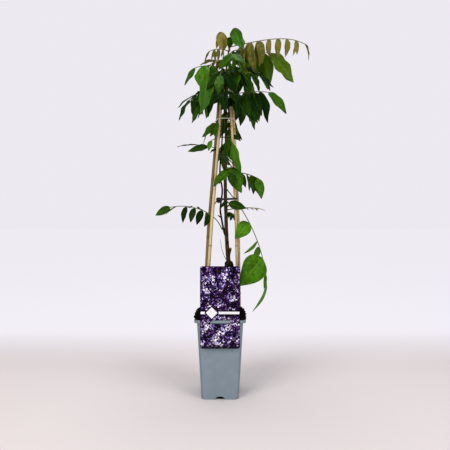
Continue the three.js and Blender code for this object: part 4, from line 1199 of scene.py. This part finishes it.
# Leaf blade: a thin waxy skin over soft green flesh, so the light spreads on it and a little comes through;
# the side veins are sunk above and pale
leafLook = {"light": "#5a9a12", "deep": "#021f00", "vein": "#86a83a", "under": "#3f7a18", "stalk": "#5c6a22",
            "blush": "#021f00", "blushShare": 0.3, "warm": "#7a8a1a", "roughness": 0.36, "sheen": 0.05,
            "veinPairs": 8}
youngLook = {"light": "#9a9234", "deep": "#3c4a0a", "vein": "#cbbf72", "under": "#97904a", "stalk": "#6f6430",
             "blush": "#b47f55", "blushShare": 0.26, "warm": "#7a8a1a", "roughness": 0.4, "sheen": 0.05,
             "veinPairs": 7}


def leafSkin(name, look):
    material, tree, surface = newMaterial(name, look)
    along, across, _ = partsOf(tree, addNode(tree, "ShaderNodeUVMap", uv_map="UVMap").outputs[0])
    side = calc(tree, "MULTIPLY", distanceOf(tree, across, 0.5), 2.0)
    # The side veins leave the rib at even steps and lean towards the tip
    lean = calc(tree, "MULTIPLY", calc(tree, "POWER", side, 1.3), 1.7)
    run = calc(tree, "SUBTRACT", calc(tree, "MULTIPLY", along, look["veinPairs"] + 1.0), lean)
    offVein = distanceOf(tree, calc(tree, "FRACT", run), 0.5)
    sideVein = ease(tree, offVein, 0.13, 0.0)
    rib = ease(tree, side, 0.1, 0.02)
    margin = ease(tree, side, 0.86, 1.0)
    # Each leaflet's lightness is partly its own green and partly painted shade, darker inside the crown
    tint, stalk = valueOf(tree, "tint"), valueOf(tree, "stalkPart")
    places = objectPlaces(tree)
    aged = calc(tree, "MULTIPLY", patches(tree, places, 24, 0.42, 0.62, 2), 0.45)
    blushed = calc(tree, "MULTIPLY", patches(tree, places, 7, 0.42, 0.7), look["blushShare"])
    # Dark leaves have dark veins and undersides too
    pale = calc(tree, "MULTIPLY_ADD", tint, 0.75, 0.2)
    under = calc(tree, "MULTIPLY", valueOf(tree, "underside"), calc(tree, "MULTIPLY", pale, 0.6))
    veins = calc(tree, "MAXIMUM", calc(tree, "MULTIPLY", sideVein, 0.26), calc(tree, "MULTIPLY", rib, 0.42))
    veins = calc(tree, "MULTIPLY", calc(tree, "MAXIMUM", veins, calc(tree, "MULTIPLY", margin, 0.3)), pale)
    paint(tree, surface, layered(tree, look, look["deep"], (tint, "light"), (aged, "deep"),
                                 (blushed, "blush"), (valueOf(tree, "warm"), "warm"), (under, "under"),
                                 (veins, "vein"), (stalk, "stalk")))
    sunk = calc(tree, "MAXIMUM", sideVein, rib)
    height = calc(tree, "SUBTRACT", 1.0, calc(tree, "MULTIPLY", sunk, calc(tree, "SUBTRACT", 1.0, stalk)))
    relief(tree, surface, height, 0.35, 0.8)
    return material


leafletForm = {"rows": [0, 0.03, 0.07, 0.13, 0.21, 0.3, 0.4, 0.5, 0.6, 0.7, 0.79, 0.87, 0.94, 1], "across": 6,
               "skin": 0.02, "neck": 0.9, "tipDraw": 0.3, "tipFrom": 0.7, "wave": 0.16, "youngWave": 0.12,
               "puff": 0.1, "curl": 0.1, "thick": 0.32, "edgeThick": 0.06, "ribRise": 0.35, "sway": 0.035}


# The frame's width of a leaflet, drawn in to a longer tip
def leafletWidth(u):
    tip = np.clip((u - leafletForm["tipFrom"]) / (1 - leafletForm["tipFrom"]), 0, None)
    return bladeWidth(u) * (1 - leafletForm["tipDraw"] * tip ** 2)


# One leaflet, one unit long and one wide, flat along +X: a grid narrowed row by row, given a top and an
# underside that meet in a thin margin
def makeLeaflet():
    rows = leafletForm["rows"]
    aside = 10  # each row is set far off while the others are picked
    startClean()
    bpy.ops.mesh.primitive_grid_add(x_subdivisions=len(rows) - 1, y_subdivisions=leafletForm["across"],
                                    size=1, location=(0.5, 0, 0))
    leaflet = newest("leaflet")
    applyTransforms()
    for i, u in enumerate(rows):
        even = i / (len(rows) - 1)
        editWhere(leaflet, "VERT", lambda place: abs(place.x * mm - even) < 0.001)
        width = max(float(leafletWidth(np.array(u))), 0.0)
        bpy.ops.transform.resize(value=(1, width, 1), center_override=(0, 0, 0))
        bpy.ops.transform.translate(value=(u - even + aside, 0, 0))
    bpy.ops.mesh.select_all(action="SELECT")
    bpy.ops.transform.translate(value=(-aside, 0, 0))
    bpy.ops.object.mode_set(mode="OBJECT")
    applyModifier(leaflet, "SOLIDIFY", thickness=leafletForm["skin"], offset=0)
    return leaflet


# For each vertex its share of the length, its share of the half width, and 1 above and -1 below
def measureLeaflet(leaflet):
    places = placesOf(leaflet) * mm
    u = places[:, 0].clip(0, 1)
    half = 0.5 * leafletWidth(u)
    v = np.where(half > 1e-3, places[:, 1] / np.maximum(half, 1e-3), 0).clip(-1, 1)
    return u, v, np.sign(places[:, 2])


leafletMaster = makeLeaflet()
leafletU, leafletV, leafletLift = measureLeaflet(leafletMaster)


# The leaflet fitted to its seat: folded along the rib, drooping, with a waved margin
def fitLeaflet(blade, draw, young, waved):
    form, u, v, lift = leafletForm, leafletU, leafletV, leafletLift
    half, length = blade["half"], blade["length"]
    out = (half * leafletWidth(u) + form["neck"] * (1 - u) ** 6) * v
    soft = 0.1 * half
    fold = blade["fold"] * (np.sqrt(out ** 2 + soft ** 2) - soft)
    puff = form["puff"] * half * np.sin(math.pi * np.abs(v)) * np.sin(math.pi * u)
    waves = draw.uniform(1.6, 2.8)
    phases = draw.uniform(0, 6.3), draw.uniform(0, 6.3)
    phase = np.where(v > 0, phases[0], phases[1])
    wave = waved * (form["youngWave"] if young else form["wave"]) * half
    ripple = wave * v ** 2 * np.sin(2 * math.pi * waves * u + phase) * np.sin(math.pi * u) ** 0.5
    curl = -form["curl"] * half * v ** 4
    skin = (form["thick"] * (1 - 0.75 * np.abs(v)) + form["edgeThick"]) * lift
    ribBelow = np.where(lift < 0, -form["ribRise"] * bell(v, 0.14) * (1 - u), 0)
    rise = fold + puff + ripple + curl + skin + ribBelow
    droop = -blade["droop"] * length * u * u
    twist = waved * draw.uniform(-0.5, 0.5) * u ** 2
    sway = draw.uniform(-form["sway"], form["sway"]) * length * np.sin(math.pi * u * 0.9)
    outTurned = out * np.cos(twist) - rise * np.sin(twist) + sway
    riseTurned = out * np.sin(twist) + rise * np.cos(twist) + droop
    start = blade["start"] * 0.4
    return (blade["root"] + blade["ahead"] * start + np.outer(u, blade["ahead"]) * (length - start)
            + np.outer(outTurned, blade["side"]) + np.outer(riseTurned, blade["crown"]))


# What the skin reads: tint, underside and warmth of each vertex, and how much of it is stalk
def keepLeaf(piece, **values):
    for name, value in values.items():
        keepValues(piece, name, np.broadcast_to(value, len(piece.data.vertices)))


def makeLeaf(number, leaf, stalk, blades, material):
    draw = random.Random(100 + number)
    points = stalk[0]
    thick = np.linspace(leafRule["stalkThick"], leafRule["stalkThin"], leafRule["steps"] + 1)
    into = points[0] + (points[0] - points[1]) * (2.2 / math.dist(points[0], points[1]))
    path, radii = rounded([into] + points, [thick[0], *thick], 4)
    radii = radii + 0.7 * bell(np.arange(len(radii)), 1.2)
    piece = makeTube(leaf["name"], path, radii, 2)
    keepLeaf(piece, tint=0.5, underside=0, warm=0, stalkPart=1)
    copies = []
    # A leaf's lightness is partly painted shade, set darker for the leaves inside the crown
    leafTintAndShade = leaf["tone"] + draw.uniform(-0.05, 0.05)
    for blade in blades:
        copy = addObject("leaflet", leafletMaster.data.copy())
        setPlaces(copy, fitLeaflet(blade, draw, leaf["young"], leaf["waved"]))
        tint = min(1, max(0, leafTintAndShade + draw.uniform(-0.2, 0.24)))
        keepLeaf(copy, tint=tint, underside=leafletLift < 0, warm=leaf["warm"],
                 stalkPart=bell(leafletU, 0.03))
        copies.append(copy)
    joinInto(piece, copies)
    smoothed(piece, math.radians(65))
    finishPiece(piece, material, leaf["name"])


greenSkin = leafSkin("Waxy green leaf", leafLook)
youngSkin = leafSkin("Young bronze leaf", youngLook)
for leafNumber, (leaf, (leafStalk, leafBlades)) in enumerate(zip(leaves, placedLeaves)):
    makeLeaf(leafNumber, leaf, leafStalk, leafBlades, youngSkin if leaf["young"] else greenSkin)
bpy.data.objects.remove(leafletMaster)
print("stage: leaves")

# Studio: a pale floor that turns into a glowing backdrop behind the plant, and far away on every side. Its
# width, the lamps and the view are in metres. A lamp has a place, an aim, a size, a power and a colour.
studio = {"floor": "#e8e0e0", "glowColour": "#efebf2", "far": "#4d4b51", "glow": 0.97, "backSpan": (150, 620),
          "roundSpan": (950, 1700), "world": 0.24, "worldColour": "#f0ecf4", "seen": 0.975, "roughness": 0.9,
          "sheen": 0.1, "width": 80}
lamps = [("keyLeft", (-1.4, -1.7, 1.7), (0, 0, 0.5), 1.2, 32, "#fffdf8"),
         ("fillRight", (1.7, -1.4, 1.5), (0, 0, 0.4), 1.4, 24, "#ffffff"),
         ("topLight", (0, 0.1, 2.4), (0, 0, 0.4), 1.2, 24, "#ffffff")]
view = {"place": (0.012, -1.0, 0.427), "lens": 31.2, "sensor": 36}


def makeStudio():
    material, tree, surface = newMaterial("Studio sweep", studio)
    places = objectPlaces(tree)
    away = addNode(tree, "ShaderNodeVectorMath", {0: places}, operation="LENGTH").outputs["Value"]
    share = calc(tree, "MAXIMUM", easeAlong(tree, partsOf(tree, places)[1], studio["backSpan"]),
                 easeAlong(tree, away, studio["roundSpan"]))
    paint(tree, surface, blendColours(tree, share, studio["floor"], studio["far"]))
    glow = blendColours(tree, share, "#000000", studio["glowColour"])
    tree.links.new(glow, surface.inputs["Emission Color"])
    surface.inputs["Emission Strength"].default_value = studio["glow"]
    startClean()
    bpy.ops.mesh.primitive_plane_add(size=studio["width"], location=(0, 0, 0))
    floor = newest("studioFloor")
    floor.data.materials.append(material)


# A soft lamp aimed at a point
def addSoftbox(name, place, aim, size, power, colour):
    light = bpy.data.lights.new(name, "AREA")
    light.shape = "SQUARE"
    light.size = size
    light.energy = power
    light.color = colourOf(colour)[:3]
    lamp = addObject(name, light)
    lamp.location = place
    lamp.visible_camera = False
    away = lamp.location.copy()
    for i in range(3):
        away[i] -= aim[i]
    lamp.rotation_euler = away.to_track_quat("Z", "Y").to_euler()


# The air lights the plant softly, and the camera sees it brighter than it lights
def makeAir():
    world = bpy.data.worlds.new("studioAir")
    bpy.context.scene.world = world
    world.use_nodes = True
    air = world.node_tree
    seen = addNode(air, "ShaderNodeLightPath").outputs["Is Camera Ray"]
    backdrop = air.nodes["Background"]
    backdrop.inputs[0].default_value = colourOf(studio["worldColour"])
    strength = calc(air, "MULTIPLY_ADD", seen, studio["seen"] - studio["world"], studio["world"])
    air.links.new(strength, backdrop.inputs[1])


def addCamera():
    camera = addObject("camera", bpy.data.cameras.new("camera"))
    camera.location = view["place"]
    camera.rotation_euler = (math.pi / 2, 0, 0)
    camera.data.lens = view["lens"]
    camera.data.sensor_width = view["sensor"]
    bpy.context.scene.camera = camera


makeStudio()
for lamp in lamps:
    addSoftbox(*lamp)
makeAir()
bpy.context.scene.view_settings.view_transform = "Standard"
addCamera()
print("stage: studio")
